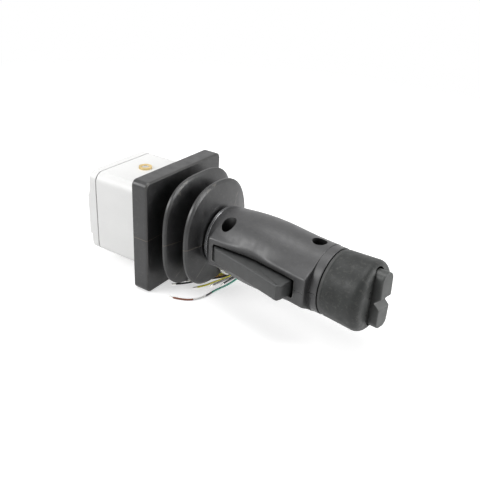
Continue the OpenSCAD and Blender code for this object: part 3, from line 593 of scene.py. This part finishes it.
def boot_surface(size):
    """Ring of points for each point of the profile: the distance from the axis is the pleat's edge on the
    round parts and the edge of a rounded square on the skirt, mixed by the squareness between them."""
    radius, height, squareness = boot_profile(size)
    t = around(264)
    angle = t + 0.2 * np.sin(4 * t)
    corner = np.clip(size.skirt_corner / MM - (size.skirt_side / MM / 2 - radius), 1.5, None)
    square_edge = square_radius(angle[None], radius[:, None], corner[:, None])
    pleat = pleat_edge(size, angle[None], radius[:, None], height[:, None])
    distance = squareness[:, None] * square_edge + (1 - squareness[:, None]) * pleat
    x = distance * np.cos(angle)
    y = distance * np.sin(angle)
    z = np.broadcast_to(height[:, None], x.shape)
    return np.stack([x, y, z], -1)


def rubber_boot(name, colour):
    """Satin black rubber: a soft bloom in patches, fine flow lines, a pale line where the mould closed, a
    painted highlight on the pleats' rims and painted shade in the grooves between them."""
    made, tree, shader = fresh_nodes(name)
    drift = noise(tree, 70.0, 5.0)
    bloom = between(tree, drift, (86, 84, 80), (104, 101, 95))
    specks = spread(tree, noise(tree, 380.0, 6.0, roughness=0.7), 0.0, 0.35, 0.54, 0.8)
    base = mix(tree, specks, varied(tree, drift, colour, 0.2, 0.25), bloom)
    parts = add(tree, "ShaderNodeSeparateXYZ", {"Vector": object_place(tree)}).outputs
    front = spread(tree, parts["Y"], 1.0, 0.0, -0.022, -0.018)
    line = spread(tree, maths(tree, "ABSOLUTE", parts["Z"]), 0.55, 0.0, 0.00012, 0.00035)
    seam = maths(tree, "MULTIPLY", front, line)
    tan = between(tree, drift, (96, 86, 70), (120, 108, 90))
    # Painted highlight: the bloom colour laid on the rims where the surface bulges; painted shade: colour
    # darkened in the grooves.
    base = painted_hollow_shade(tree, painted_edge_highlight(tree, mix(tree, seam, base, tan), bloom), 0.016, 0.45)
    rough = spread(tree, noise(tree, 160.0, 5.0), 0.28, 0.44)
    fill(tree, shader, {"Base Color": base, "Roughness": rough, "Specular IOR Level": 0.55})
    relief(tree, shader, [(noise(tree, 1700.0, 2.0), 0.000018), (seam, 0.00012)])
    return made


class JOYSTICK_OT_boot(bpy.types.Operator):
    """Makes the rubber boot: a square skirt that turns into round pleats, a dome and a neck"""
    bl_idname = "joystick.boot"
    bl_label = "Rubber boot"

    def execute(self, context):
        size = context.scene.joystick_boot
        boot = solid("rubber_boot", upright(boot_surface(size)), wrap_rows=True, sharp=60)
        boot.data.materials.append(rubber_boot("boot rubber", tuple(size.colour)))
        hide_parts("boot")
        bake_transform(boot)
        return {"FINISHED"}


# ------------------------------------------------------------------ grip

def swell(size, z):
    """Radius of the grip at a height: a quarter sine up to the swell, then half a cosine to the cap."""
    base = size.base_radius / MM
    most = size.swell_radius / MM
    top = size.top_radius / MM
    rise = base + (most - base) * np.sin(math.pi / 2 * np.clip(z, 0, SWELL_AT) / SWELL_AT)
    past = (np.clip(z, SWELL_AT, GUARD_END) - SWELL_AT) / (GUARD_END - SWELL_AT)
    fall = top + (most - top) * (1 + np.cos(math.pi * past)) / 2
    return np.where(z < SWELL_AT, rise, fall)


def soft_least(a, b, reach):
    """The smaller of two distances, rounded where they meet: min - h * h * reach / 4."""
    h = np.maximum(reach - np.abs(a - b), 0) / reach
    return np.minimum(a, b) - h * h * reach / 4


def soft_most(a, b, reach):
    """The larger of two distances, rounded where they meet: max + h * h * reach / 4."""
    h = np.maximum(reach - np.abs(a - b), 0) / reach
    return np.maximum(a, b) + h * h * reach / 4


def guard_face(z):
    """Distance of the guard's face in front of the axis: straight from 27.4 at its start to 24.3 at its
    bend, straight on to 29 at its end, and rounded where the two lines meet."""
    near = 27.4 - (z - GUARD_START) * 3.1 / (GUARD_BEND - GUARD_START)
    far = 24.3 + (z - GUARD_BEND) * 4.7 / (GUARD_END - GUARD_BEND)
    return soft_most(near, far, 1.4)


def guard_radius(size, turn, z):
    """Distance of the guard's skin at an angle from the front: tangent planes run from the round grip to the
    edges of its face, and the face cuts them off."""
    face = guard_face(z)
    core = np.interp(z, [34, 50], [23.0, 23.6])
    middle = np.arctan2(GUARD_HALF, face) + np.arccos(core / np.hypot(GUARD_HALF, face))
    near = np.abs(turn)
    plane = core / np.cos(np.clip(near - middle, -1.4, 1.4))
    flank = np.where(near < middle, plane, core)
    widest = soft_most(flank, swell(size, z), 2.4)
    cosine = np.maximum(np.cos(near), 0.05)
    return soft_least(widest, face / cosine, size.guard_edge / MM)


def grip_rows():
    """Heights along the grip, and how much of the guard stands there: it comes in and goes out over soft
    edges."""
    a = quarter(5)
    edge = 0.9
    start = [GUARD_START + edge * (1 - np.sin(a[::-1])), 1 - 0.3 * (1 - np.cos(a[::-1]))]
    end = [GUARD_END - edge + edge * np.sin(a), 1 - 0.2 * (1 - np.cos(a))]
    below = [np.arange(0.8, 4.9, 0.8), np.zeros(6)]
    middle = [np.arange(6.6, 87, 0.8), np.ones(101)]
    above = [np.arange(88.6, 94.5, 0.8), np.zeros(8)]
    foot = [[GUARD_START - 0.01, GUARD_START], [0.0, 0.35]]
    head = [[GUARD_END, GUARD_END + 0.01], [0.4, 0.0]]
    return np.vstack([np.transpose(part) for part in (below, foot, start, middle, end, head, above)])


def grip_half(size, side):
    """One half of the grip: for each height a ring that runs round the skin from front to back on its own
    side of the joint plane, then straight back across the plane. Its ends and joint edges are eased."""
    rows = grip_rows()
    z = rows[:, :1]
    guard = rows[:, 1:]
    ease = np.array([0.0, 0.25, 0.7, 1.0])
    tiny = np.array([0.05, 0.12, 0.3, 0.6]) / 27
    turn = np.concatenate([tiny, np.radians(np.arange(2, 178.5, 1.0)), math.pi - tiny[::-1]])[None]
    skin = swell(size, z) * np.ones_like(turn)
    skin = skin + guard * (guard_radius(size, turn, z) - skin)
    drop = np.zeros(turn.shape[1])
    drop[:4] = JOINT_EASE * (1 - ease)
    drop[-4:] = JOINT_EASE * (1 - ease[::-1])
    skin = skin - drop[None]
    x = side * skin * np.sin(turn)
    y = -skin * np.cos(turn)
    t = np.linspace(0, 1, 12)[1:-1]
    back_x = np.full((len(rows), len(t)), side * JOINT_GAP)
    back_y = y[:, -1:] * (1 - t) + y[:, :1] * t
    flat = np.stack([np.hstack([x, back_x]), np.hstack([y, back_y])], -1)
    a = quarter(5)
    tall = np.ones((flat.shape[1], 1))
    foot = [np.hstack([flat[0] * (1 - 0.03 * (1 - math.sin(k))), tall * 0.8 * (1 - math.cos(k))])
            for k in a[:-1]]
    head = [np.hstack([flat[-1] * (1 - 0.02 * (1 - math.cos(k))),
                       tall * (GRIP_END - 0.25 * (1 - math.sin(k)))])
            for k in a[1:]]
    rings = np.dstack([flat, np.broadcast_to(z, flat.shape[:2])])
    return np.concatenate([np.stack(foot), rings, np.stack(head)])


def pocket_cutter(name):
    """Volume of the trigger's pocket: a rounded oblong, 13.4 by 70, lofted from its floor to the guard's
    face, where it flares by 0.6 as an arc, and on past it."""
    a = quarter(5)
    grow = np.concatenate([[0, 0, 0, 0], 0.6 * (1 - np.cos(a)), [0.9]])
    share = np.concatenate([[0, 0.3, 0.6, 0.9], np.ones(5), [1]])
    above = np.concatenate([[0, 0, 0, -0.7], -0.6 + 0.6 * np.sin(a), [4.0]])
    outline, out = oblong(6.7, 35.0, 1.2, 6)
    ring = outline[None] + out[None] * grow[:, None, None]
    x = ring[..., 0]
    z = ring[..., 1] + POCKET_MIDDLE
    front = -(guard_face(z) + above[:, None])
    y = POCKET_FLOOR + share[:, None] * (front - POCKET_FLOOR)
    return solid(name, on_grip(np.stack([x, y, z], -1)))


def recess_cutter(name, y, z):
    """Round screw recess: a cylinder of radius 5.2 from its narrower seat outwards."""
    q = around(48)
    x = np.array([-9.0, -9.0, -9.3, -20.0, -40.0])[:, None]
    radius = np.array([4.0, 4.9, 5.2, 5.2, 5.2])[:, None]
    ring = np.stack([x + 0 * q, y + radius * np.cos(q), z + radius * np.sin(q)], -1)
    return solid(name, on_grip(ring))


class JOYSTICK_OT_grip(bpy.types.Operator):
    """Makes the grip's two halves with the trigger guard, its pocket and the screw recesses"""
    bl_idname = "joystick.grip"
    bl_label = "Grip halves"

    def execute(self, context):
        size = context.scene.joystick_grip
        # The grip's plastic carries painted shade in the recesses and pocket, and a painted highlight on the
        # guard's edges and other bulges.
        finish = plastic("grip plastic", tuple(size.colour), rough=(0.32, 0.48), mottle=0.12,
                         grain=2400, depth=0.00003, edge=0.0003, dust=0.10, reach=0.014, highlight_share=0.5)
        for name, side in (("grip_upper_shell", -1), ("grip_lower_shell", 1)):
            half = solid(name, on_grip(grip_half(size, side)), sharp=40)
            cutters = [pocket_cutter("pocket")]
            if side < 0:
                cutters += [recess_cutter("recess_low", -14.9, 13.3), recess_cutter("recess_high", 1.0, 78.7)]
            carve(half, cutters, sharp=40)
            half.data.materials.clear()
            half.data.materials.append(finish)
            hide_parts("grip_upper_half" if side < 0 else "grip_lower_half")
            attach(half, "lever")
        return {"FINISHED"}


# ------------------------------------------------------------------ trigger, cap and rocker

class JOYSTICK_OT_trigger(bpy.types.Operator):
    """Makes the long finger trigger"""
    bl_idname = "joystick.trigger"
    bl_label = "Trigger"

    def execute(self, context):
        corners = [(-20.6, 40), (-20.6, 15.5), (-20.6, 11.5), (-23.6, 10.1), (-27.2, 10.1), (-29.8, 13),
                   (-33.8, 41), (-40.1, 73.6), (-39.5, 75.2), (-36.5, 76.2), (-27, 77.6), (-22.2, 77.6),
                   (-20.6, 40)]
        outline = fillet_path(corners, [0, 2, 2, 2, 2.5, 4, 60, 0.8, 0.8, 1.2, 6, 1.5, 0], 6)
        trigger = slab("trigger_lever", densify(outline, 1.6)[:-1], 5.8, 1.1)
        # The trigger's plastic carries painted shade in its recesses and a painted highlight on its edges.
        trigger.data.materials.append(plastic(
            "trigger plastic", linear(52, 53, 53), rough=(0.34, 0.48), mottle=0.1, grain=2800,
            depth=0.00002, dust=0.08, reach=0.006, highlight_share=0.5))
        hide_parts("trigger")
        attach(trigger, "trigger")
        return {"FINISHED"}


def cap_rings():
    """Cap as a profile turned about the axis: out along its foot, up a gentle flare and over a large edge."""
    a = quarter(9)
    corner = 6.0
    shoulder = CAP_END - corner
    side = np.stack([np.linspace(23.9, 25.0, 12), np.linspace(97.6, shoulder, 12)], -1)
    edge = np.stack([25.0 - corner + corner * np.cos(a), shoulder + corner * np.sin(a)], -1)[1:]
    foot = [[8.0, CAP_FOOT], [20.6, CAP_FOOT], [23.4, CAP_FOOT], [23.75, CAP_FOOT + 0.15]]
    path = np.vstack([foot, side, edge, [[15.0, CAP_END], [8.0, CAP_END], [2.0, CAP_END]]])
    q = around(180)
    return np.stack([path[:, :1] * np.cos(q), path[:, :1] * np.sin(q),
                     np.broadcast_to(path[:, 1:], (len(path), len(q)))], -1)


def well_cutter(name):
    """Volume of the rocker's well: a rounded oblong, 43.2 by 12.6 and set 1.3 off the axis, that flares at
    the cap's end."""
    a = quarter(5)
    outline, out = oblong(21.6, 6.3, 5.4, 9)
    outline = outline - [1.3, 0.0]
    grow = np.concatenate([[0, 0], 0.3 * (1 - np.cos(a)), [0.5]])
    height = CAP_END + np.concatenate([[-6.5, -2.0], -0.3 + 0.3 * np.sin(a), [3.0]])
    ring = outline[None] + out[None] * grow[:, None, None]
    z = np.broadcast_to(height[:, None, None], ring.shape[:2] + (1,))
    return solid(name, on_grip(np.concatenate([ring, z], -1)))


def pit_cutter(name, x):
    """Small moulded pit beside the well: a cone 1.7 wide and 1.2 deep."""
    q = around(20)
    z = CAP_END + np.array([-1.2, -0.8, -0.1, 1.0])[:, None]
    radius = np.array([0.3, 0.75, 0.85, 0.9])[:, None]
    ring = np.stack([x + radius * np.cos(q), -9.3 + radius * np.sin(q), z + 0 * q], -1)
    return solid(name, on_grip(ring))


def rocker_rings():
    """Rocker as rings about its middle line: half widths follow a plan with round ends, and the rings climb
    the sides, turn over a soft edge and close in on the middle. The top is two pads, high at 132.4, with a
    notch 4 deep between them, ends that are round in plan and a slight slope across."""
    pads = fillet_path([(-21.6, ROCKER_FOOT), (-21.6, 131.6), (-4.0, 132.4), (0, 128.2), (4.0, 132.3),
                        (19.6, 132.3), (19.6, ROCKER_FOOT)], [0, 1.1, 0.5, 0.5, 0.5, 1.1, 0], 6)
    pads = densify(pads, 0.7)
    pads = pads[pads[:, 1] > 125.4]
    x = pads[:, 0]
    top = pads[:, 1]
    end_radius = 5.6
    over = np.maximum(np.abs(x + 1.0) - 15.0, 0)
    half = 0.4 + end_radius * np.sqrt(np.maximum(1 - (over / end_radius) ** 2, 0.0))
    half[[0, -1]] = 0.6
    a = quarter(6)
    edge = 0.6
    share = np.concatenate([[0.0, 0.4, 0.8], np.ones(11)])
    below = np.concatenate([np.zeros(3), edge * (1 - np.sin(a)), np.zeros(5)])
    inset = np.concatenate([np.zeros(3), edge * (1 - np.cos(a)), np.full(5, edge)])
    close = np.concatenate([np.ones(9), [0.8, 0.6, 0.4, 0.2, 0.0]])
    width = (half[None] - inset[:, None]).clip(0.05) * close[:, None]
    ring_x = np.concatenate([x, x[::-1]])
    ring_y = np.hstack([width, -width[:, ::-1]])
    crest = np.concatenate([top, top[::-1]])
    height = ROCKER_FOOT + share[:, None] * (crest - ROCKER_FOOT) - below[:, None]
    height = height + share[:, None] * 0.12 * (ring_y - 6.0)
    return np.stack([np.broadcast_to(ring_x, ring_y.shape), ring_y, height], -1)


class JOYSTICK_OT_cap(bpy.types.Operator):
    """Makes the rubber-coated cap with its well and pits, and the rocker with two pads and a notch"""
    bl_idname = "joystick.cap"
    bl_label = "Cap and rocker"

    def execute(self, context):
        size = context.scene.joystick_grip
        # The cap's rubber carries painted shade in the well and pits.
        finish = plastic("cap rubber", tuple(size.cap_colour), rough=(0.38, 0.58), mottle=0.30, grain=2000,
                         depth=0.000035, edge=0.0003, dust=0.22, reach=0.006, patch=120.0, specular=0.32)
        cap = solid("cap_shell", on_grip(cap_rings()), sharp=40)
        pits = [pit_cutter("pit", x) for x in (-8.5, -4.0, 8.5)]
        carve(cap, [well_cutter("well"), *pits], sharp=40)
        cap.data.materials.clear()
        cap.data.materials.append(finish)
        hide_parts("cap")
        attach(cap, "lever")

        rocker = solid("rocker_pads", on_grip(rocker_rings()), sharp=38, folded=True)
        # The rocker's rubber carries painted shade, darker down its sides in the well.
        rocker.data.materials.append(plastic(
            "rocker rubber", shade(tuple(size.cap_colour), 0.9), rough=(0.36, 0.5), mottle=0.14, grain=2400,
            depth=0.00003, edge=0.0003, dust=0.12, reach=0.022))
        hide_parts("rocker")
        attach(rocker, "rocker")
        return {"FINISHED"}


# ------------------------------------------------------------------ cords

CABLE_ROUTE = [(-30, 52, -14), (-30, 58, -14.2), (-29, 66, -16.5), (-26.5, 74, -22), (-21, 81, -29),
               (-12, 86, -36), (0, 88.5, -40.8), (14, 88.5, -42.3), (28, 86, -42.5), (40, 80.5, -42.5),
               (50, 72, -42.5), (56.5, 63, -42.3), (59.4, 54, -42), (59, 46, -41.8)]
SLEEVE_ROUTE = [(59, 46, -41.8), (57, 36, -41.8)]
# Leads as (x, y, z), or as (x, y) where they lie on the floor.
LEAD_ROUTES = {
    "lead_white_long": [(58.6, 35.7, -40.2), (53.7, 26, -41.6), (48.1, 17, -42.6), (46.6, 12.5, -41.8),
                        (46.4, 8.5, -39), (46.8, 4.5, -35.2), (47.6, 1, -31)],
    "lead_white_short": [(55.4, 36.3, -40.2), (50.2, 26, -41.6), (44.5, 17, -42.6), (41.8, 13.5, -42.4),
                         (38, 9.5, -42.3), (33.5, 4.5, -42.3), (29.8, 0.5, -42.4)],
    "lead_tan": [(55.4, 36.3, -43.5), (50.4, 26, -44.1), (45.4, 17), (42.5, 11), (38.5, 6), (34.5, 1),
                 (30, -6), (25.4, -13.4)],
    "lead_teal": [(54.7, 36.5, -41.8), (49.1, 26, -43.1), (43.6, 17), (40, 11), (35.5, 6.5), (31, 2.5),
                  (26.5, -3.5), (21.5, -10.5), (16.5, -19)],
    "lead_black": [(56.2, 36.2, -41.8), (51.8, 26, -43.1), (47.2, 17), (45, 11), (41, 5), (36.5, -1),
                   (32, -8), (26.6, -16.5), (19.6, -24)],
    "lead_black_short": [(58.6, 35.7, -43.5), (55.6, 26, -44.1), (52.6, 17), (51.6, 11), (50.9, 5),
                         (50.8, -1.5)],
    "lead_yellow_far": [(57, 36, -40.2), (51.9, 26, -41.6), (46.3, 17, -42.6), (43.5, 12.5, -42.6),
                        (40.2, 8.5, -42.6), (37, 5, -42.6)],
    "lead_yellow_near": [(57, 36, -43.5), (53.1, 26, -44.1), (49, 17), (47.5, 11), (45.5, 5), (43.6, -1),
                         (41, -9), (36, -18)],
    "lead_grey": [(57.8, 35.9, -41.8), (54.4, 26, -43.2), (50.8, 17), (49.3, 11), (47.8, 5), (46.4, -1),
                  (44.7, -8)],
    "lead_green": [(59.4, 35.5, -41.8), (57.3, 26, -43.2), (55.2, 17), (54.8, 8), (54, 1), (52.6, -5),
                   (51.4, -11), (50.8, -18), (49.4, -24.5), (46.5, -30), (42, -34.2), (36, -37),
                   (29, -39)],
}
LEAD_COLOURS = {
    "white": linear(240, 240, 238), "tan": linear(206, 160, 96), "teal": linear(20, 172, 150),
    "black": linear(24, 24, 26), "yellow": linear(226, 220, 70), "grey": linear(150, 148, 146),
    "green": linear(16, 140, 116),
}
LEAD_BANDS = {name: [(0.0, LEAD_COLOURS[name.split("_")[1]])] for name in LEAD_ROUTES}
LEAD_BANDS["lead_green"] += [(0.58, LEAD_COLOURS["black"]), (0.66, LEAD_COLOURS["white"]),
                             (0.78, linear(134, 78, 54))]


def run_along(line):
    """Length run along a line at each of its points."""
    return np.concatenate([[0], np.cumsum(np.linalg.norm(np.diff(line, axis=0), axis=1))])


def smooth_route(points, count):
    """Even points on the Catmull-Rom curve through a route: each span is a cubic whose slopes are half the
    step between the span's neighbours."""
    p = np.asarray(points, float)
    p = np.vstack([2 * p[0] - p[1], p, 2 * p[-1] - p[-2]])
    t = np.linspace(0, 1, 24, endpoint=False)[None, :, None]
    a, b, c, d = p[:-3, None], p[1:-2, None], p[2:-1, None], p[3:, None]
    square = (2 * a - 5 * b + 4 * c - d) * t * t
    cube = (3 * b - a - 3 * c + d) * t ** 3
    curve = 0.5 * (2 * b + (c - a) * t + square + cube)
    curve = np.vstack([curve.reshape(-1, 3), p[-2]])
    run = run_along(curve)
    even = np.linspace(0, run[-1], count)
    return np.stack([np.interp(even, run, curve[:, k]) for k in range(3)], -1), run[-1]


def tube(name, centre, radius, sides):
    """Round tube about a centre line: each ring stands square to the line, across = line x up, and its
    radius may change along it. The map named length runs from 0 to 1 along the tube."""
    ahead = unit(np.gradient(centre, axis=0))
    across = unit(np.cross(ahead, [0.1, 0.05, 1.0]))
    over = np.cross(across, ahead)
    q = around(sides)[None, :, None]
    ring = across[:, None] * np.cos(q) + over[:, None] * np.sin(q)
    grid = centre[:, None] + ring * np.broadcast_to(radius, (len(centre),))[:, None, None]
    run = run_along(centre)
    along = np.broadcast_to((run / run[-1])[:, None], grid.shape[:2])
    round_part = np.broadcast_to(np.linspace(0, 1, sides)[None], grid.shape[:2])
    return solid(name, grid * MM, sharp=50, uv=np.stack([along, round_part], -1))


class JOYSTICK_OT_cords(bpy.types.Operator):
    """Makes the sheathed cable, the sleeve where it ends and the ten leads that fan out of it"""
    bl_idname = "joystick.cords"
    bl_label = "Cable and leads"

    def execute(self, context):
        size = context.scene.joystick_cords
        sheath = plastic("cable sheath", tuple(size.sheath), rough=(0.38, 0.5), mottle=0.15, grain=1500,
                         depth=0.00001)
        shrink = plastic("shrink sleeve", tuple(size.sheath), rough=(0.3, 0.42), mottle=0.2, grain=600,
                         depth=0.00004)
        width = size.cable_width / MM
        line, length = smooth_route(CABLE_ROUTE, 90)
        cable = tube("signal_cable", line, width / 2, 24)
        cable.data.materials.append(sheath)
        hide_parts("cable")
        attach(cable, "base")

        ends, _ = smooth_route(SLEEVE_ROUTE, 30)
        t = np.linspace(0, 1, 30)
        drawn_in = 0.12 * np.exp(-(t / 0.06) ** 2) + 0.1 * np.exp(-((t - 1) / 0.06) ** 2)
        girth = (width / 2 + 0.7) * (1 - drawn_in)
        sleeve = tube("breakout_sleeve_skin", ends, girth, 28)
        sleeve.data.materials.append(shrink)
        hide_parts("breakout_sleeve")
        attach(sleeve, "base")
        dress("cable_boot", sheath)

        for node, route in LEAD_ROUTES.items():
            route = [(*point, LEAD_Z)[:3] for point in route]
            line, length = smooth_route(route, 60)
            bare = 1 - size.tin_length / MM / length
            t = np.linspace(0, 1, 60)
            girth = size.lead_width / MM / 2 * np.where(t < bare, 1.0, 0.72)
            lead = tube(node + "_wire", line, girth, 12)
            lead.data.materials.append(lead_finish(node.replace("_", " "), LEAD_BANDS[node], bare))
            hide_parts(node)
            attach(lead, "base")
        return {"FINISHED"}


# ------------------------------------------------------------------ rigid pieces

class JOYSTICK_OT_rigid(bpy.types.Operator):
    """Gives the housing, the pivot, the screws, the collar and the inner parts their finishes"""
    bl_idname = "joystick.rigid"
    bl_label = "Housing and metal parts"

    def execute(self, context):
        look = context.scene.joystick_metal
        paint = casting("painted casting", tuple(look.casting))
        rubber = plastic("gasket rubber", linear(40, 40, 40), rough=(0.5, 0.65), mottle=0.15)
        bright = metal("bright steel", tuple(look.steel), rough=(0.16, 0.30), brushed=(1, 1, 6))
        # The collar carries painted shade where it is shut in under the grip.
        ground = metal("ground collar", tuple(look.steel), rough=(0.12, 0.24), brushed=(8, 1, 1), edge=0.0003,
                       reach=0.005)
        plate = metal("plated sheet", shade(tuple(look.steel), -0.2), rough=(0.3, 0.45), brushed=(1, 8, 1))
        zinc = metal("zinc screws", shade(tuple(look.steel), -0.1), rough=(0.25, 0.4))
        bronze = metal("sintered bronze", tuple(look.bronze), rough=(0.3, 0.45), mottle=0.2, grain=2200,
                       depth=0.00002)
        spring = metal("spring wire", shade(tuple(look.steel), -0.35), rough=(0.2, 0.34))
        black_screw = metal("blackened screws", linear(74, 74, 76), rough=(0.35, 0.5), mottle=0.2)
        nickel = metal("plated magnet", linear(190, 190, 186), rough=(0.14, 0.24))
        inner = plastic("moulded inner parts", linear(52, 52, 54), rough=(0.4, 0.55), edge=0.0002)
        # The seam ring carries painted shade along its narrow gaps to the grip and cap.
        seam = plastic("seam rubber", linear(52, 53, 52), rough=(0.5, 0.62), mottle=0.15, edge=0.0002,
                       reach=0.0016)
        board = plastic("lacquered board", linear(22, 92, 58), rough=(0.24, 0.34), mottle=0.12, grain=900,
                        depth=0.00001)
        chosen = {
            "housing": paint, "rear_cover": paint, "cover_gasket": rubber, "cover_screws": zinc,
            "mounting_plate": plate, "plate_screws": zinc, "upper_bush": bronze, "lower_bush": bronze,
            "pivot_shaft": bright, "lever_hub": bright, "hub_grub_screw": black_screw, "lever_rod": bright,
            "centring_spring": spring, "spring_post": bright, "magnet_holder": inner,
            "sensor_magnet": nickel, "circuit_board": board, "hall_sensor": inner, "board_screws": zinc,
            "neck_collar": ground, "grip_screws": black_screw, "trigger_pin": bright,
            "trigger_spring": spring, "trigger_switch": inner, "seam_ring": seam, "rocker_pin": bright,
            "rocker_switch": inner,
        }
        for node, finish in chosen.items():
            dress(node, finish)
        return {"FINISHED"}


# ------------------------------------------------------------------ stage

def area_lamp(name, place, target, size, power):
    """Square lamp at a place, turned to a target."""
    data = bpy.data.lights.new(name, "AREA")
    data.shape = "SQUARE"
    data.size = size
    data.energy = power
    lamp = link(bpy.data.objects.new(name, data))
    back = unit(np.array(place) - np.array(target))
    right = unit(np.cross([0, 0, 1], back) + [1e-6, 0, 0])
    up = np.cross(back, right)
    turn = Matrix(np.stack([right, up, back], -1).tolist())
    lamp.matrix_world = Matrix.Translation(place) @ turn.to_4x4()
    return lamp


def seen_directly(tree):
    """1 where a camera, glossy or transmitted ray meets the surface, else 0."""
    rays = add(tree, "ShaderNodeLightPath").outputs
    first = maths(tree, "MAXIMUM", rays["Is Camera Ray"], rays["Is Glossy Ray"])
    return maths(tree, "MAXIMUM", first, rays["Is Transmission Ray"])


def floor_finish():
    """Pale matt floor that looks white to the camera where no shadow falls, and is plain white from 0.8 m
    out, past the reach of the lamps."""
    made = bpy.data.materials.new("floor")
    tree = empty_tree(made)
    matt = add(tree, "ShaderNodeBsdfDiffuse", {"Color": (0.80, 0.80, 0.80, 1)}).outputs["BSDF"]
    strength = maths(tree, "MULTIPLY", seen_directly(tree), 0.52)
    glow = add(tree, "ShaderNodeEmission", {"Strength": strength}).outputs["Emission"]
    near = add(tree, "ShaderNodeAddShader", {0: matt, 1: glow}).outputs["Shader"]
    strength = spread(tree, seen_directly(tree), 0.4, 1.0, 0.0, 1.0)
    far = add(tree, "ShaderNodeEmission", {"Strength": strength}).outputs["Emission"]
    length = add(tree, "ShaderNodeVectorMath", {0: object_place(tree)}, operation="LENGTH").outputs["Value"]
    away = spread(tree, length, 0.0, 1.0, 0.3, 0.8)
    blend = add(tree, "ShaderNodeMixShader", {"Fac": away, 1: near, 2: far}).outputs["Shader"]
    add(tree, "ShaderNodeOutputMaterial", {"Surface": blend})
    return made


class JOYSTICK_OT_stage(bpy.types.Operator):
    """Sets the camera, the pale floor, the soft lamps and the white surround"""
    bl_idname = "joystick.stage"
    bl_label = "Stage"

    def execute(self, context):
        look = context.scene.joystick_stage
        scene = context.scene
        scene.view_settings.view_transform = "Standard"
        data = bpy.data.cameras.new("view")
        data.lens = look.lens
        data.sensor_width = 36.0
        data.clip_start = 0.01
        data.clip_end = 50.0
        camera = link(bpy.data.objects.new("view", data))
        camera.matrix_world = Matrix((
            (0.83197, -0.29770, 0.46814, 0.27740),
            (0.55211, 0.36100, -0.75158, -0.34080),
            (0.05482, 0.88370, 0.46473, 0.21130),
            (0.0, 0.0, 0.0, 1.0)))
        scene.camera = camera

        mesh = bpy.data.meshes.new("floor")
        corners = [(x, y, FLOOR_Z * MM) for x, y in ((-6, -6), (6, -6), (6, 6), (-6, 6))]
        mesh.from_pydata(corners, [], [(0, 1, 2, 3)])
        floor = link(bpy.data.objects.new("floor", mesh))
        mesh.materials.append(floor_finish())

        centre = (0.04, 0.0, 0.0)
        area_lamp("key", (0.0, 0.05, 1.15), centre, 0.8, look.key_power)
        area_lamp("left", (-0.75, -0.95, 0.75), centre, 0.7, look.left_power)
        area_lamp("right", (1.15, 0.45, 0.35), centre, 0.6, look.right_power)

        world = bpy.data.worlds.new("surround")
        tree = empty_tree(world)
        white = (1, 1, 1, 1)
        lit = add(tree, "ShaderNodeBackground", {"Color": white, "Strength": look.world})
        seen = add(tree, "ShaderNodeBackground", {"Color": white, "Strength": 1.0})
        choose = add(tree, "ShaderNodeMixShader", {
            "Fac": seen_directly(tree), 1: lit.outputs["Background"], 2: seen.outputs["Background"]})
        add(tree, "ShaderNodeOutputWorld", {"Surface": choose.outputs["Shader"]})
        scene.world = world
        return {"FINISHED"}


class JOYSTICK_PT_panel(bpy.types.Panel):
    """Sidebar panel with one button for each piece"""
    bl_idname = "JOYSTICK_PT_panel"
    bl_label = "Joystick"
    bl_space_type = "VIEW_3D"
    bl_region_type = "UI"
    bl_category = "Joystick"

    def draw(self, context):
        for name in ("stage", "cords", "rigid", "boot", "grip", "trigger", "cap"):
            self.layout.operator("joystick." + name)
        for group in (context.scene.joystick_boot, context.scene.joystick_grip,
                      context.scene.joystick_metal, context.scene.joystick_cords,
                      context.scene.joystick_stage):
            box = self.layout.box()
            for key in group.__annotations__:
                box.prop(group, key)


CLASSES = (JoystickBoot, JoystickGrip, JoystickMetal, JoystickCords, JoystickStage, JOYSTICK_OT_stage,
           JOYSTICK_OT_cords, JOYSTICK_OT_rigid, JOYSTICK_OT_boot, JOYSTICK_OT_grip,
           JOYSTICK_OT_trigger, JOYSTICK_OT_cap, JOYSTICK_PT_panel)
GROUPS = {"joystick_boot": JoystickBoot, "joystick_grip": JoystickGrip, "joystick_metal": JoystickMetal,
          "joystick_cords": JoystickCords, "joystick_stage": JoystickStage}


def register():
    for made in CLASSES:
        bpy.utils.register_class(made)
    for name, group in GROUPS.items():
        setattr(bpy.types.Scene, name, bpy.props.PointerProperty(type=group))


def unregister():
    for name in GROUPS:
        delattr(bpy.types.Scene, name)
    for made in reversed(CLASSES):
        bpy.utils.unregister_class(made)


def main():
    register()
    bpy.ops.joystick.stage()
    bpy.ops.joystick.cords()
    bpy.ops.joystick.rigid()
    bpy.ops.joystick.boot()
    bpy.ops.joystick.grip()
    bpy.ops.joystick.trigger()
    bpy.ops.joystick.cap()


if __name__ == "__main__":
    main()
